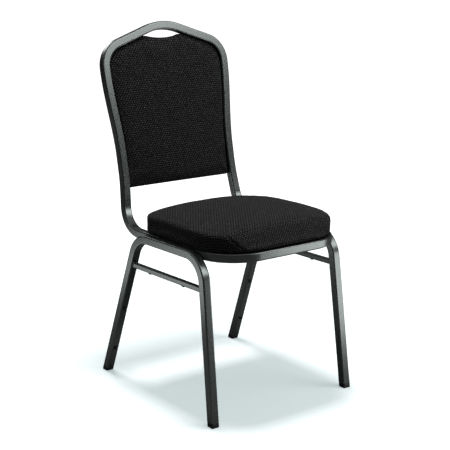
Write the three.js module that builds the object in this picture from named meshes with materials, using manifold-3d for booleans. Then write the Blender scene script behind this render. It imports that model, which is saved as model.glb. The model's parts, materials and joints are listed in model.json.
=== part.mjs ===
// Stacking chair with a crowned back: a welded frame of bent square steel tube,
// a padded seat screwed to tabs inside the seat rails and a padded back inside the hoop.
// Millimetres, +Z up. The chair faces -Y and stands on the floor at Z = 0.
// The origin is on the floor under the middle of the chair's bounding box.

import * as THREE from 'three';
import { mergeVertices } from 'three/addons/utils/BufferGeometryUtils.js';
import Module from 'manifold-3d';

const wasm = await Module();
wasm.setup();

const rad = THREE.MathUtils.degToRad;

// ---------------------------------------------------------------- driving dimensions

const GAP = 0.3;                // clearance kept between touching pieces

const TUBE = 22;                // main frame tube, square, across the flats
const TUBE_WALL = 1.5;
const TUBE_CORNER = 3;          // outside corner radius of the tube
const STRETCHER = 13;           // stretcher tube, square, across the flats
const STRETCHER_CORNER = 1.8;
const BEND_STEP = rad(9);       // angle between sections in a bend

const RAIL_HEIGHT = 410;        // seat rail centreline above the floor, at y = 0
const SEAT_PITCH = rad(1);      // the seat frame rises towards the front
const RAIL_X = 186.7;           // side rail centreline from the middle plane
const FRONT_RAIL_Y = -255.5;    // centreline of the front seat rail
const FRONT_RAIL_BEND = 96;
const RAIL_JOINT_Y = -150;      // where the front rail meets the side rails
const CROSSBAR_Y = 82;          // rear cross bar centreline

const FOOT_X = 218.3;           // leg centreline at the floor
const FRONT_FOOT_Y = -245;      // foot centrelines at the floor
const REAR_FOOT_Y = 242;
const LEG_TOP_X = 209.3;        // leg frame centreline at rail height
const FRONT_LEG_RAKE = rad(7.6);
const REAR_LEG_RAKE = rad(20.3);
const LEG_BEND = 70;
const STRETCHER_HEIGHT = 331;   // stretcher centreline at y = 0

const BACK_LEAN = rad(11.8);
const BACK_Y = 178;             // where the back's centreline would cross the side rail's
const BACK_BEND = 75;           // bend from side rail up to back
const WAIST_X = 176.8;          // hoop centreline at its narrowest
const WAIST_START = 150;        // heights along the hoop from the side rail
const FLARE_START = 196;
const FLARE_END = 424;
const SHOULDER_X = 193.5;       // hoop centreline at its widest
const SHOULDER_BEND = 67;
const SHOULDER_SLOPE = rad(18.9);
const CROWN_HEIGHT = 541.5;     // apex where the two shoulder lines would meet
const CROWN_BEND = 154;

const PAD_BOTTOM = 110;         // bottom edge of the back pad, along the hoop
const PAD_CLEARANCE = 0.8;      // between hoop and back cover
const PAD_DIP = 498;            // lowest point of the pad's hollow top edge
const PAD_DIP_RADIUS = 166;
const PAD_TIP_X = 56;           // half width of the hand hole
const PAD_CROWN = 16;           // front of the pad ahead of the hoop's middle plane
const PAD_CROWN_RADIUS = 3500;
const PAD_CENTRE = 310;

const FABRIC = 1.6;
const SEAT_HALF_FRONT = 206;    // seat cushion half width at the front corners
const SEAT_HALF_REAR = 198;
const SEAT_FRONT_Y = -265;
const SEAT_REAR_Y = 106;
const SEAT_FRONT_CORNER = 122;
const SEAT_REAR_CORNER = 60;
const SEAT_BOTTOM = TUBE / 2 + 0.6;  // cushion rim above the rail centreline
const SEAT_TOP = 81;            // crown of the seat above the rail centreline
const SEAT_CROWN_RADIUS = 930;
const SEAT_CROWN_Y = -50;       // highest point of the seat
const SEAT_EDGE_BEVEL = 30;
const BOARD = 12;               // plywood seat board
const DUST_COVER = 0.6;
const BACK_BOARD = 6;
const BACK_PANEL = 1.2;         // fabric-covered rear panel
const PAD_BACK = -9.4;          // back of the board, behind the hoop's middle plane

const TAB = { length: 30, width: 26, thickness: 2.5 };
const SCREW = { shaft: 2.3, head: 5, headHeight: 3 };
const BACK_TAB = { length: 26, width: 26, thickness: 1.6 };
const BACK_SCREW = { shaft: 1.9, countersink: 3.6, sink: 1.5, length: 5.2 };
const NUT = { flange: 8, flangeHeight: 1.4, barrel: 3.6, depth: 8 };

const BUMPER = { head: 6, height: 4, stem: 2.4, depth: 5 };
const LEG_BUMPER_HEIGHTS = { upper: 202, lower: 77 };
const STRETCHER_BUMPER_Y = { front: -112, rear: 34 };
const GLIDE_HEIGHT = 12;        // tube end above the floor, along the leg
const GLIDE_PLUG = 20;

// ---------------------------------------------------------------- materials

const paint = () => new THREE.MeshStandardMaterial({ color: 0x6f7674, roughness: 0.4, metalness: 0.6 });
const steel = () => new THREE.MeshStandardMaterial({ color: 0x9a9c9e, roughness: 0.35, metalness: 0.9 });
const rubber = () => new THREE.MeshStandardMaterial({ color: 0x111213, roughness: 0.7, metalness: 0 });
const fabric = () => new THREE.MeshStandardMaterial({ color: 0x1d1e20, roughness: 0.95, metalness: 0 });
const foam = () => new THREE.MeshStandardMaterial({ color: 0xd8cfae, roughness: 0.9, metalness: 0 });
const wood = () => new THREE.MeshStandardMaterial({ color: 0xb08d5e, roughness: 0.7, metalness: 0 });

// ---------------------------------------------------------------- solids

function toSolid(geometry) {
  const bare = geometry.clone();
  bare.deleteAttribute('normal');
  bare.deleteAttribute('uv');
  const merged = mergeVertices(bare, 1e-4);
  return new wasm.Manifold(new wasm.Mesh({
    numProp: 3,
    vertProperties: merged.attributes.position.array,
    triVerts: new Uint32Array(merged.index.array),
  }));
}

function toGeometry(solid) {
  const mesh = solid.getMesh();
  const geometry = new THREE.BufferGeometry();
  geometry.setAttribute('position', new THREE.BufferAttribute(mesh.vertProperties, 3));
  geometry.setIndex(new THREE.BufferAttribute(mesh.triVerts, 1));
  geometry.computeVertexNormals();
  return geometry;
}

const cut = (geometry, ...tools) => toGeometry(
  tools.reduce((solid, tool) => solid.subtract(toSolid(tool)), toSolid(geometry)));

const join = (a, b) => toGeometry(toSolid(a).add(toSolid(b)));

const common = (a, b) => toGeometry(toSolid(a).intersect(toSolid(b)));

// A box that fills the space above z = floor.
function above(floor) {
  const size = 2000;
  return new THREE.BoxGeometry(size, size, size).translate(0, 0, floor + size / 2);
}

// ---------------------------------------------------------------- swept tube

// A path through ready-made stations. Each station's facing vector stays on the same flat
// of the square section, so the section never twists.
class StationCurve extends THREE.Curve {
  constructor(points, facings) {
    super();
    this.points = points;
    this.facings = facings;
  }

  getSpacedPoints() {
    return this.points;
  }

  getPoint(t) {
    return this.points[Math.round(t * (this.points.length - 1))].clone();
  }

  computeFrenetFrames() {
    const last = this.points.length - 1;
    const heading = (i) => this.points[i + 1].clone().sub(this.points[i]).normalize();
    const frames = { tangents: [], normals: [], binormals: [] };
    this.points.forEach((point, i) => {
      const before = heading(Math.max(i - 1, 0));
      const after = heading(Math.min(i, last - 1));
      const tangent = before.add(after).normalize();
      const normal = this.facings[i].clone().cross(tangent).normalize();
      frames.tangents.push(tangent);
      frames.normals.push(normal);
      frames.binormals.push(tangent.clone().cross(normal));
    });
    return frames;
  }
}

function roundedSquare(path, size, corner) {
  const flat = size / 2 - corner;
  path.absarc(flat, flat, corner, 0, Math.PI / 2, false);
  path.absarc(-flat, flat, corner, Math.PI / 2, Math.PI, false);
  path.absarc(-flat, -flat, corner, Math.PI, 1.5 * Math.PI, false);
  path.absarc(flat, -flat, corner, 1.5 * Math.PI, 2 * Math.PI, false);
  path.closePath();
  return path;
}

function squareHole(size) {
  const half = size / 2;
  const corners = [[-half, -half], [-half, half], [half, half], [half, -half]];
  return new THREE.Path(corners.map(([x, y]) => new THREE.Vector2(x, y)));
}

function sweep(section, points, facings) {
  return new THREE.ExtrudeGeometry(section, {
    steps: points.length - 1,
    curveSegments: 1,
    extrudePath: new StationCurve(points, facings),
  });
}

function squareTube(points, facings, size = TUBE, corner = TUBE_CORNER, wall = TUBE_WALL) {
  const section = roundedSquare(new THREE.Shape(), size, corner);
  section.holes.push(squareHole(size - 2 * wall));
  return sweep(section, points, facings);
}

function squareBar(points, facings, size, corner = TUBE_CORNER) {
  return sweep(roundedSquare(new THREE.Shape(), size, corner), points, facings);
}

// A polyline whose inner corners are rounded to a radius.
function bentLine(corners, radii) {
  const points = [corners[0].clone()];
  for (let i = 1; i < corners.length - 1; i += 1) {
    const into = corners[i].clone().sub(corners[i - 1]).normalize();
    const out = corners[i + 1].clone().sub(corners[i]).normalize();
    const turn = into.angleTo(out);
    const inward = out.clone().addScaledVector(into, -Math.cos(turn)).normalize();
    const radius = radii[i - 1];
    const start = corners[i].clone().addScaledVector(into, -radius * Math.tan(turn / 2));
    const steps = Math.ceil(turn / BEND_STEP);
    for (let k = 0; k <= steps; k += 1) {
      const angle = (turn * k) / steps;
      points.push(start.clone()
        .addScaledVector(into, radius * Math.sin(angle))
        .addScaledVector(inward, radius * (1 - Math.cos(angle))));
    }
  }
  points.push(corners.at(-1).clone());
  return points;
}

const facingAll = (points, facing) => points.map(() => facing);

// ---------------------------------------------------------------- placing

const chair = new THREE.Group();

function addNode(name, geometry, material, parent = chair) {
  const mesh = new THREE.Mesh(geometry, material);
  mesh.name = name;
  parent.add(mesh);
  return mesh;
}

// Seat frame: x across, y back, z up from the rails' centreline, pitched up to the front.
const seatFrame = new THREE.Group();
seatFrame.position.z = RAIL_HEIGHT;
seatFrame.rotation.x = -SEAT_PITCH;
chair.add(seatFrame);

// Back plane: x across, z up along the hoop from the side rails, y to the rear.
const backPlane = new THREE.Group();
backPlane.position.set(0, BACK_Y, RAIL_HEIGHT - BACK_Y * Math.tan(SEAT_PITCH));
backPlane.rotation.x = -BACK_LEAN;
chair.add(backPlane);

// Leg planes: y back, z up the leaning leg frame, x outwards on the right side.
const LEG_SPLAY = Math.atan((FOOT_X - LEG_TOP_X) / RAIL_HEIGHT);

function legPlane(side) {
  const plane = new THREE.Group();
  plane.position.x = side * FOOT_X;
  plane.rotation.y = -side * LEG_SPLAY;
  plane.updateMatrix();
  chair.add(plane);
  return plane;
}

// ---------------------------------------------------------------- hoop with side rails

const smooth = (t) => {
  const clamped = THREE.MathUtils.clamp(t, 0, 1);
  return clamped * clamped * (3 - 2 * clamped);
};

// Half width of the hoop centreline at a height along it, below the shoulder bend.
function hoopHalfWidth(height) {
  const waist = WAIST_X + (RAIL_X - WAIST_X) * (1 - smooth(height / WAIST_START));
  const flare = (SHOULDER_X - WAIST_X) * smooth((height - FLARE_START) / (FLARE_END - FLARE_START));
  return waist + flare;
}

// Right half of the hoop laid out flat, from the side rail's front end to the crown.
function hoopHalfOutline() {
  const shoulderHeight = CROWN_HEIGHT - SHOULDER_X * Math.tan(SHOULDER_SLOPE);
  const railEnd = backBend.start - (BACK_Y - backBend.reach - RAIL_JOINT_Y) / Math.cos(SEAT_PITCH);
  const points = [new THREE.Vector2(RAIL_X, railEnd)];
  const bendSteps = Math.ceil(backBend.angle / BEND_STEP);
  for (let i = 0; i <= bendSteps; i += 1) {
    const height = backBend.start + (i / bendSteps) * BACK_BEND * backBend.angle;
    points.push(new THREE.Vector2(hoopHalfWidth(height), height));
  }
  const sideSteps = { narrowing: 5, flare: 9 };
  for (let i = 1; i <= sideSteps.narrowing; i += 1) {
    const height = THREE.MathUtils.lerp(backBend.reach, WAIST_START, i / sideSteps.narrowing);
    points.push(new THREE.Vector2(hoopHalfWidth(height), height));
  }
  for (let i = 0; i <= sideSteps.flare; i += 1) {
    const height = THREE.MathUtils.lerp(FLARE_START, FLARE_END, i / sideSteps.flare);
    points.push(new THREE.Vector2(hoopHalfWidth(height), height));
  }
  const top = bentLine([
    new THREE.Vector3(SHOULDER_X, FLARE_END, 0),
    new THREE.Vector3(SHOULDER_X, shoulderHeight, 0),
    new THREE.Vector3(0, CROWN_HEIGHT, 0),
    new THREE.Vector3(-SHOULDER_X, shoulderHeight, 0),
  ], [SHOULDER_BEND, CROWN_BEND]);
  top.slice(1).filter((point) => point.x > 1).forEach(({ x, y }) => points.push(new THREE.Vector2(x, y)));
  return points;
}

// The bend from side rail to back, along the flat hoop: heights below zero wrap forward.
const backBend = (() => {
  const angle = Math.PI / 2 - BACK_LEAN + SEAT_PITCH;
  const reach = BACK_BEND * Math.tan(angle / 2);
  return { angle, reach, start: reach - BACK_BEND * angle };
})();

// Folds a point of the flat hoop into the side view: rail, bend, then leaning back.
function foldHoop({ x, y: height }) {
  const corner = new THREE.Vector2(BACK_Y, RAIL_HEIGHT - BACK_Y * Math.tan(SEAT_PITCH));
  const forward = new THREE.Vector2(-Math.cos(SEAT_PITCH), Math.sin(SEAT_PITCH));
  const bendStart = corner.clone().addScaledVector(forward, backBend.reach);
  const upright = new THREE.Vector2(Math.sin(BACK_LEAN), Math.cos(BACK_LEAN));
  let place;
  let angle;
  if (height >= backBend.reach) {
    angle = Math.PI / 2 - BACK_LEAN;
    place = corner.clone().addScaledVector(upright, height);
  } else if (height <= backBend.start) {
    angle = -SEAT_PITCH;
    place = bendStart.clone().addScaledVector(forward, backBend.start - height);
  } else {
    angle = -SEAT_PITCH + (height - backBend.start) / BACK_BEND;
    place = bendStart.clone()
      .add(new THREE.Vector2(Math.sin(SEAT_PITCH), Math.cos(SEAT_PITCH)).multiplyScalar(BACK_BEND))
      .add(new THREE.Vector2(Math.sin(angle), -Math.cos(angle)).multiplyScalar(BACK_BEND));
  }
  return {
    point: new THREE.Vector3(x, place.x, place.y),
    facing: new THREE.Vector3(0, -Math.sin(angle), Math.cos(angle)),
  };
}

const hoopHalf = hoopHalfOutline();

function backFrameTube() {
  const crown = CROWN_HEIGHT - CROWN_BEND * (1 / Math.cos(SHOULDER_SLOPE) - 1);
  const mirrored = hoopHalf.map(({ x, y }) => new THREE.Vector2(-x, y)).reverse();
  const stations = [...hoopHalf, new THREE.Vector2(0, crown), ...mirrored].map(foldHoop);
  return squareTube(stations.map((s) => s.point), stations.map((s) => s.facing));
}

// ---------------------------------------------------------------- seat rails

function frontRail() {
  const up = new THREE.Vector3(0, 0, 1);
  const joint = RAIL_JOINT_Y - GAP;
  const points = bentLine([
    new THREE.Vector3(-RAIL_X, joint, 0),
    new THREE.Vector3(-RAIL_X, FRONT_RAIL_Y, 0),
    new THREE.Vector3(RAIL_X, FRONT_RAIL_Y, 0),
    new THREE.Vector3(RAIL_X, joint, 0),
  ], [FRONT_RAIL_BEND, FRONT_RAIL_BEND]);
  return squareTube(points, facingAll(points, up));
}

function crossbar() {
  const reach = RAIL_X - TUBE / 2 - GAP;
  const points = [new THREE.Vector3(-reach, CROSSBAR_Y, 0), new THREE.Vector3(reach, CROSSBAR_Y, 0)];
  return squareTube(points, facingAll(points, new THREE.Vector3(0, 0, 1)));
}

// ---------------------------------------------------------------- leg frames

const OUTWARD = new THREE.Vector3(1, 0, 0);

// A point on a leg's centreline in the leg plane, at a height above the floor.
function legPoint(leg, height) {
  const y = leg === 'front'
    ? FRONT_FOOT_Y + height * Math.tan(FRONT_LEG_RAKE)
    : REAR_FOOT_Y - height * Math.tan(REAR_LEG_RAKE);
  return new THREE.Vector3(0, y, height);
}

// The height where a leg's centreline crosses a line that is pitched like the seat.
function crossing(leg, railHeight) {
  const rise = Math.tan(SEAT_PITCH);
  const foot = legPoint(leg, 0).y;
  const lean = legPoint(leg, 1).y - foot;
  return (railHeight - rise * foot) / (1 + rise * lean);
}

function legFramePoints() {
  const ends = ['front', 'rear'].map((leg) => {
    const rake = leg === 'front' ? FRONT_LEG_RAKE : REAR_LEG_RAKE;
    return legPoint(leg, GLIDE_HEIGHT * Math.cos(rake));
  });
  const shoulders = ['front', 'rear'].map((leg) => legPoint(leg, crossing(leg, RAIL_HEIGHT)));
  return bentLine([ends[0], shoulders[0], shoulders[1], ends[1]], [LEG_BEND, LEG_BEND]);
}

const legLine = legFramePoints();

// Turns a piece made along +Y so that it points along a direction, at a place.
function aim(geometry, direction, place) {
  const turn = new THREE.Quaternion().setFromUnitVectors(new THREE.Vector3(0, 1, 0), direction);
  return geometry.applyQuaternion(turn).translate(place.x, place.y, place.z);
}

const drill = (radius, depth) => new THREE.CylinderGeometry(radius, radius, depth, 12);

// Bumper seats on the front face of the rear leg and under the stretcher, in the leg plane.
const legBumperSeats = Object.entries(LEG_BUMPER_HEIGHTS).map(([name, height]) => {
  const direction = new THREE.Vector3(0, -Math.cos(REAR_LEG_RAKE), -Math.sin(REAR_LEG_RAKE));
  const place = legPoint('rear', height).addScaledVector(direction, TUBE / 2);
  return { name: `leg_bumper_${name}`, direction, place };
});

const stretcherBumperSeats = Object.entries(STRETCHER_BUMPER_Y).map(([name, y]) => {
  const direction = new THREE.Vector3(0, -Math.sin(SEAT_PITCH), -Math.cos(SEAT_PITCH));
  const centre = new THREE.Vector3(0, y, STRETCHER_HEIGHT - y * Math.tan(SEAT_PITCH));
  return {
    name: `stretcher_bumper_${name}`,
    direction,
    place: centre.addScaledVector(direction, STRETCHER / 2),
  };
});

const bumperHoles = (seats) => seats.map(({ direction, place }) => aim(
  drill(BUMPER.stem + GAP, BUMPER.depth), direction, place));

function legFrame() {
  const tube = squareTube(legLine, facingAll(legLine, OUTWARD));
  return cut(tube, ...bumperHoles(legBumperSeats));
}

function stretcher() {
  const ends = ['front', 'rear'].map((leg) => legPoint(leg, crossing(leg, STRETCHER_HEIGHT)));
  const tube = squareTube(ends, facingAll(ends, OUTWARD), STRETCHER, STRETCHER_CORNER, TUBE_WALL);
  const legs = squareBar(legLine, facingAll(legLine, OUTWARD), TUBE + 2 * GAP);
  return cut(tube, legs, ...bumperHoles(stretcherBumperSeats));
}

// A domed rubber button with a stem that plugs into the drilled tube.
function bumper() {
  const profile = [[0, -BUMPER.depth / 2], [BUMPER.stem, -BUMPER.depth / 2], [BUMPER.stem, GAP],
    [BUMPER.head, GAP], [BUMPER.head, BUMPER.height * 0.55], [BUMPER.head * 0.8, BUMPER.height * 0.85],
    [BUMPER.head * 0.4, BUMPER.height], [0, BUMPER.height]];
  return new THREE.LatheGeometry(profile.map(([x, y]) => new THREE.Vector2(x, y)), 10);
}

// A plastic foot: a plug inside the tube and a sole cut level with the floor.
function glide(leg, plane) {
  const rake = leg === 'front' ? FRONT_LEG_RAKE : -REAR_LEG_RAKE;
  const axis = new THREE.Vector3(0, Math.sin(rake), Math.cos(rake));
  const foot = legPoint(leg, 0);
  const along = (from, to) => [from, to].map((d) => foot.clone().addScaledVector(axis, d));
  const head = along(-GLIDE_HEIGHT, GLIDE_HEIGHT - GAP);
  const plug = along(0, GLIDE_HEIGHT + GLIDE_PLUG);
  const solid = join(
    squareBar(head, facingAll(head, OUTWARD), TUBE),
    squareBar(plug, facingAll(plug, OUTWARD), TUBE - 2 * TUBE_WALL - 2 * GAP, 1));
  return common(solid.applyMatrix4(plane.matrix), above(0));
}

function addLegs(sideName, side) {
  const plane = legPlane(side);
  addNode(`${sideName}_leg_frame`, legFrame(), paint(), plane);
  addNode(`${sideName}_stretcher`, stretcher(), paint(), plane);
  [...legBumperSeats, ...stretcherBumperSeats].forEach(({ name, direction, place }) => {
    addNode(`${sideName}_${name}`, aim(bumper(), direction, place), rubber(), plane);
  });
  ['front', 'rear'].forEach((leg) => {
    addNode(`${sideName}_${leg}_glide`, glide(leg, plane), rubber());
  });
}

// ---------------------------------------------------------------- seat

// Plan of the seat cushion, drawn in by a distance from its edge.
function seatPlan(inset) {
  const front = SEAT_FRONT_Y + inset;
  const rear = SEAT_REAR_Y - inset;
  const halfFront = SEAT_HALF_FRONT - inset;
  const halfRear = SEAT_HALF_REAR - inset;
  const corners = [[0, rear], [halfRear, rear], [halfFront, front], [-halfFront, front],
    [-halfRear, rear], [0, rear]].map(([x, y]) => new THREE.Vector3(x, y, 0));
  const rearCorner = SEAT_REAR_CORNER - inset;
  const frontCorner = SEAT_FRONT_CORNER - inset;
  const outline = bentLine(corners, [rearCorner, frontCorner, frontCorner, rearCorner]);
  return new THREE.Shape(outline.slice(1).map(({ x, y }) => new THREE.Vector2(x, y)));
}

// A round disc with a flat bottom and a spherical top, wide enough to cover a cushion.
function crownedDisc(sphereRadius, top, bottom) {
  const reach = 400;
  const steps = 8;
  const profile = [new THREE.Vector2(0, bottom), new THREE.Vector2(reach, bottom)];
  for (let i = steps; i >= 0; i -= 1) {
    const radius = (reach * i) / steps;
    const drop = sphereRadius - Math.sqrt(sphereRadius ** 2 - radius ** 2);
    profile.push(new THREE.Vector2(radius, top - drop));
  }
  return new THREE.LatheGeometry(profile, 32).rotateX(Math.PI / 2);
}

// Crowned cushion shape with a rounded top edge, from a bottom height up.
function cushion(inset, bottom) {
  const depth = SEAT_TOP - SEAT_EDGE_BEVEL;
  const body = new THREE.ExtrudeGeometry(seatPlan(inset), {
    depth,
    bevelThickness: SEAT_EDGE_BEVEL,
    bevelSize: SEAT_EDGE_BEVEL,
    bevelOffset: -SEAT_EDGE_BEVEL,
    bevelSegments: 2,
  }).translate(0, 0, -inset);
  const lens = crownedDisc(SEAT_CROWN_RADIUS, SEAT_TOP - inset, bottom);
  lens.translate(0, SEAT_CROWN_Y, 0);
  return common(body, lens);
}

function plate(shape, thickness, bottom) {
  return new THREE.ExtrudeGeometry(shape, { depth: thickness, bevelEnabled: false })
    .translate(0, 0, bottom);
}

const upright = (geometry, x, y, z) => geometry.rotateX(Math.PI / 2).translate(x, y, z);

const seatFixings = {
  left_front: [-1, -120], right_front: [1, -120], left_rear: [-1, 40], right_rear: [1, 40],
};
const fixingPlace = (side, y) => [side * (RAIL_X - TUBE / 2 - GAP - TAB.length / 2), y];

function screw(length) {
  const profile = [[0, -SCREW.headHeight], [SCREW.head * 0.8, -SCREW.headHeight], [SCREW.head, -1],
    [SCREW.head, 0], [SCREW.shaft, 0], [SCREW.shaft, length - 2], [SCREW.shaft * 0.5, length],
    [0, length]];
  return new THREE.LatheGeometry(profile.map(([x, y]) => new THREE.Vector2(x, y)), 10);
}

function teeNut() {
  const bore = SCREW.shaft + GAP;
  const profile = [[bore, -NUT.depth], [NUT.barrel, -NUT.depth], [NUT.barrel, 0], [NUT.flange, 0],
    [NUT.flange, NUT.flangeHeight], [bore, NUT.flangeHeight], [bore, -NUT.depth]];
  return new THREE.LatheGeometry(profile.map(([x, y]) => new THREE.Vector2(x, y)), 10);
}

function addSeat() {
  const dustTop = SEAT_BOTTOM + DUST_COVER;
  const boardBottom = dustTop + GAP;
  const boardTop = boardBottom + BOARD;
  const lining = FABRIC + GAP;
  const nutSeat = boardTop - NUT.flangeHeight - GAP;
  const tabTop = TUBE / 2 - GAP;
  const tabBottom = tabTop - TAB.thickness;
  const places = Object.entries(seatFixings).map(([name, [side, y]]) => [name, ...fixingPlace(side, y)]);
  const bores = (radius, from, to) => places.map(([, x, y]) => upright(
    drill(radius, to - from), x, y, (from + to) / 2));

  const shell = cut(cushion(0, SEAT_BOTTOM), cushion(FABRIC, SEAT_BOTTOM - 5));
  addNode('seat_cover', shell, fabric(), seatFrame);
  addNode('seat_foam', cushion(lining, boardTop + GAP), foam(), seatFrame);
  const board = cut(
    plate(seatPlan(lining + 1), BOARD, boardBottom),
    ...bores(NUT.barrel + GAP, boardBottom - 1, boardTop + 1),
    ...bores(NUT.flange + GAP, nutSeat - GAP, boardTop + 1));
  addNode('seat_board', board, wood(), seatFrame);
  const dust = cut(
    plate(seatPlan(14), DUST_COVER, SEAT_BOTTOM),
    ...bores(SCREW.shaft + GAP, SEAT_BOTTOM - 1, dustTop + 1));
  addNode('seat_dust_cover', dust, fabric(), seatFrame);

  places.forEach(([name, x, y]) => {
    const blank = new THREE.BoxGeometry(TAB.length, TAB.width, TAB.thickness)
      .translate(x, y, tabBottom + TAB.thickness / 2);
    const hole = upright(drill(SCREW.shaft + GAP, 2 * TAB.thickness), x, y, tabBottom);
    addNode(`seat_tab_${name}`, cut(blank, hole), paint(), seatFrame);
    const headTop = tabBottom - GAP;
    addNode(`seat_screw_${name}`, upright(screw(nutSeat + 1 - headTop), x, y, headTop), steel(), seatFrame);
    addNode(`seat_nut_${name}`, upright(teeNut(), x, y, nutSeat), steel(), seatFrame);
  });
}

// ---------------------------------------------------------------- back

// Outline of the back pad inside the hoop, drawn in from the hoop's centreline.
function padOutline(inset) {
  const extra = inset - TUBE / 2 - PAD_CLEARANCE;
  const bottom = PAD_BOTTOM + extra;
  const half = hoopHalf.map((point, i) => {
    const ahead = hoopHalf[Math.min(i + 1, hoopHalf.length - 1)];
    const behind = hoopHalf[Math.max(i - 1, 0)];
    const heading = ahead.clone().sub(behind).normalize();
    return new THREE.Vector2(point.x - heading.y * inset, point.y + heading.x * inset);
  });
  const tip = PAD_TIP_X - extra;
  const side = half.filter(({ x, y }) => y > bottom + 5 && x > tip + 3);
  const dip = ({ x }) => PAD_DIP - extra + PAD_DIP_RADIUS - Math.sqrt(PAD_DIP_RADIUS ** 2 - x ** 2);
  const right = [new THREE.Vector2(WAIST_X - inset, bottom), ...side];
  const hollow = [1, 0.8, 0.6, 0.4, 0.2].map((t) => new THREE.Vector2(tip * t, dip({ x: tip * t })));
  const rising = [...right, ...hollow];
  const falling = rising.map(({ x, y }) => new THREE.Vector2(-x, y)).reverse();
  return new THREE.Shape([...rising, new THREE.Vector2(0, dip({ x: 0 })), ...falling]);
}

// A plate in the back plane, from one forward distance to another.
function backPlate(inset, from, to) {
  return plate(padOutline(inset), to - from, from).rotateX(Math.PI / 2);
}

// Pad with a crowned front, from a plane behind it to the crown in front.
function backPad(inset, from) {
  const crown = PAD_CROWN - (inset - TUBE / 2 - PAD_CLEARANCE);
  const body = plate(padOutline(inset), crown - from, from);
  const lens = crownedDisc(PAD_CROWN_RADIUS, crown, from - 1).translate(0, PAD_CENTRE, 0);
  return common(body, lens).rotateX(Math.PI / 2);
}

const backFixings = {
  left_lower: [-1, 170], right_lower: [1, 170], left_upper: [-1, 400], right_upper: [1, 400],
};

// Countersunk screw pointing forward from the back of a tab, made larger by a margin.
function backScrew(margin, { x, height }) {
  const { shaft, countersink, sink, length } = BACK_SCREW;
  const tip = length + margin;
  const profile = [[0, -margin], [countersink + margin, -margin], [countersink + margin, 0],
    [shaft + margin, sink], [shaft + margin, tip], [0, tip]];
  return new THREE.LatheGeometry(profile.map(([r, d]) => new THREE.Vector2(r, d)), 10)
    .rotateX(Math.PI).translate(x, -PAD_BACK, height);
}

function backTab({ x, height }, margin) {
  const thickness = BACK_TAB.thickness + 2 * margin;
  return new THREE.BoxGeometry(BACK_TAB.length + 2 * margin, thickness, BACK_TAB.width + 2 * margin)
    .translate(x, -PAD_BACK + margin - thickness / 2, height);
}

function addBack() {
  const coverInset = TUBE / 2 + PAD_CLEARANCE;
  const innerInset = coverInset + FABRIC + GAP;
  const boardFront = PAD_BACK + BACK_BOARD;
  const panelFront = PAD_BACK - GAP;
  const tabs = Object.entries(backFixings).map(([name, [side, height]]) => {
    const edge = hoopHalfWidth(height) - TUBE / 2 - 3 * GAP;
    return { name, x: side * (edge - BACK_TAB.length / 2), height };
  });
  const recesses = tabs.map((tab) => backTab(tab, GAP));

  const shell = cut(backPad(coverInset, PAD_BACK), backPad(coverInset + FABRIC, PAD_BACK - 5), ...recesses);
  addNode('back_cover_front', shell, fabric(), backPlane);
  addNode('back_foam', backPad(innerInset, boardFront + GAP), foam(), backPlane);
  const board = cut(backPlate(innerInset, PAD_BACK, boardFront), ...recesses,
    ...tabs.map((tab) => backScrew(GAP, tab)));
  addNode('back_board', board, wood(), backPlane);
  addNode('back_cover_rear', backPlate(coverInset + 1.5, panelFront - BACK_PANEL, panelFront),
    fabric(), backPlane);
  tabs.forEach((tab) => {
    addNode(`back_tab_${tab.name}`, cut(backTab(tab, 0), backScrew(GAP, tab)), paint(), backPlane);
    addNode(`back_screw_${tab.name}`, backScrew(0, tab), steel(), backPlane);
  });
}

// ---------------------------------------------------------------- assembly

addNode('back_frame_tube', backFrameTube(), paint());
addNode('seat_front_rail', frontRail(), paint(), seatFrame);
addNode('seat_rear_crossbar', crossbar(), paint(), seatFrame);
addLegs('left', -1);
addLegs('right', 1);
addSeat();
addBack();

const box = new THREE.Box3().setFromObject(chair);
chair.position.y = -(box.min.y + box.max.y) / 2;

export default chair;
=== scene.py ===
"""Stacking chair with a crowned back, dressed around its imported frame.

A welded frame of bent square steel tube carries a padded seat and a padded back.
Sizes in the classes are millimetres in the maker's own frames: the floor, the pitched
seat frame, the leaning plane of the back and the splayed plane of each leg frame.
The meshes they give are metres in the row frame, with every object at the origin.
"""

import json
import logging
import math
from collections.abc import Callable
from dataclasses import dataclass, field
from enum import Enum

import bpy
import numpy as np
from mathutils import Matrix


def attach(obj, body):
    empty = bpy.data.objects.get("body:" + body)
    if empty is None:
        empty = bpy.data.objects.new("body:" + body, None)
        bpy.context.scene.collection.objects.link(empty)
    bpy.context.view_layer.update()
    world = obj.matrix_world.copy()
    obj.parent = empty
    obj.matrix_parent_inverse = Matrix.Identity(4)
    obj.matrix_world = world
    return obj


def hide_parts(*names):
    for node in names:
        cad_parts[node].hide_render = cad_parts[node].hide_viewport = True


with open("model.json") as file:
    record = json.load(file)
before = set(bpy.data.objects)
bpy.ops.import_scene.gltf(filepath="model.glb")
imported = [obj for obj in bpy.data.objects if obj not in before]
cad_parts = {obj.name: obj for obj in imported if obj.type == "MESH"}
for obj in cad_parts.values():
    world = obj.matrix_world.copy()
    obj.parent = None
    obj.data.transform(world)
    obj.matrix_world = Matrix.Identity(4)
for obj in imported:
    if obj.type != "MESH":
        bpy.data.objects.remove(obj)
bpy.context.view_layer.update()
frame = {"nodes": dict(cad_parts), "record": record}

LOG = logging.getLogger("stacking_chair")
MM = 0.001  # metres in a millimetre
BODY = "root"
CENTRING = -16.468  # shift along y that puts the chair's box over the origin
GAP = 0.3  # clearance between two pieces that touch
SHARP_ANGLE = 50.0  # degrees between two faces above which their edge stays sharp
FLAT_LEAD = 0.35  # distance of the extra point on a flat from its corner's centre, in radii
POLE = 0.02  # radius, or share of the way out, of the small flat that closes a skin
UP = np.array([0.0, 0.0, 1.0])
OUTWARD = np.array([1.0, 0.0, 0.0])


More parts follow.
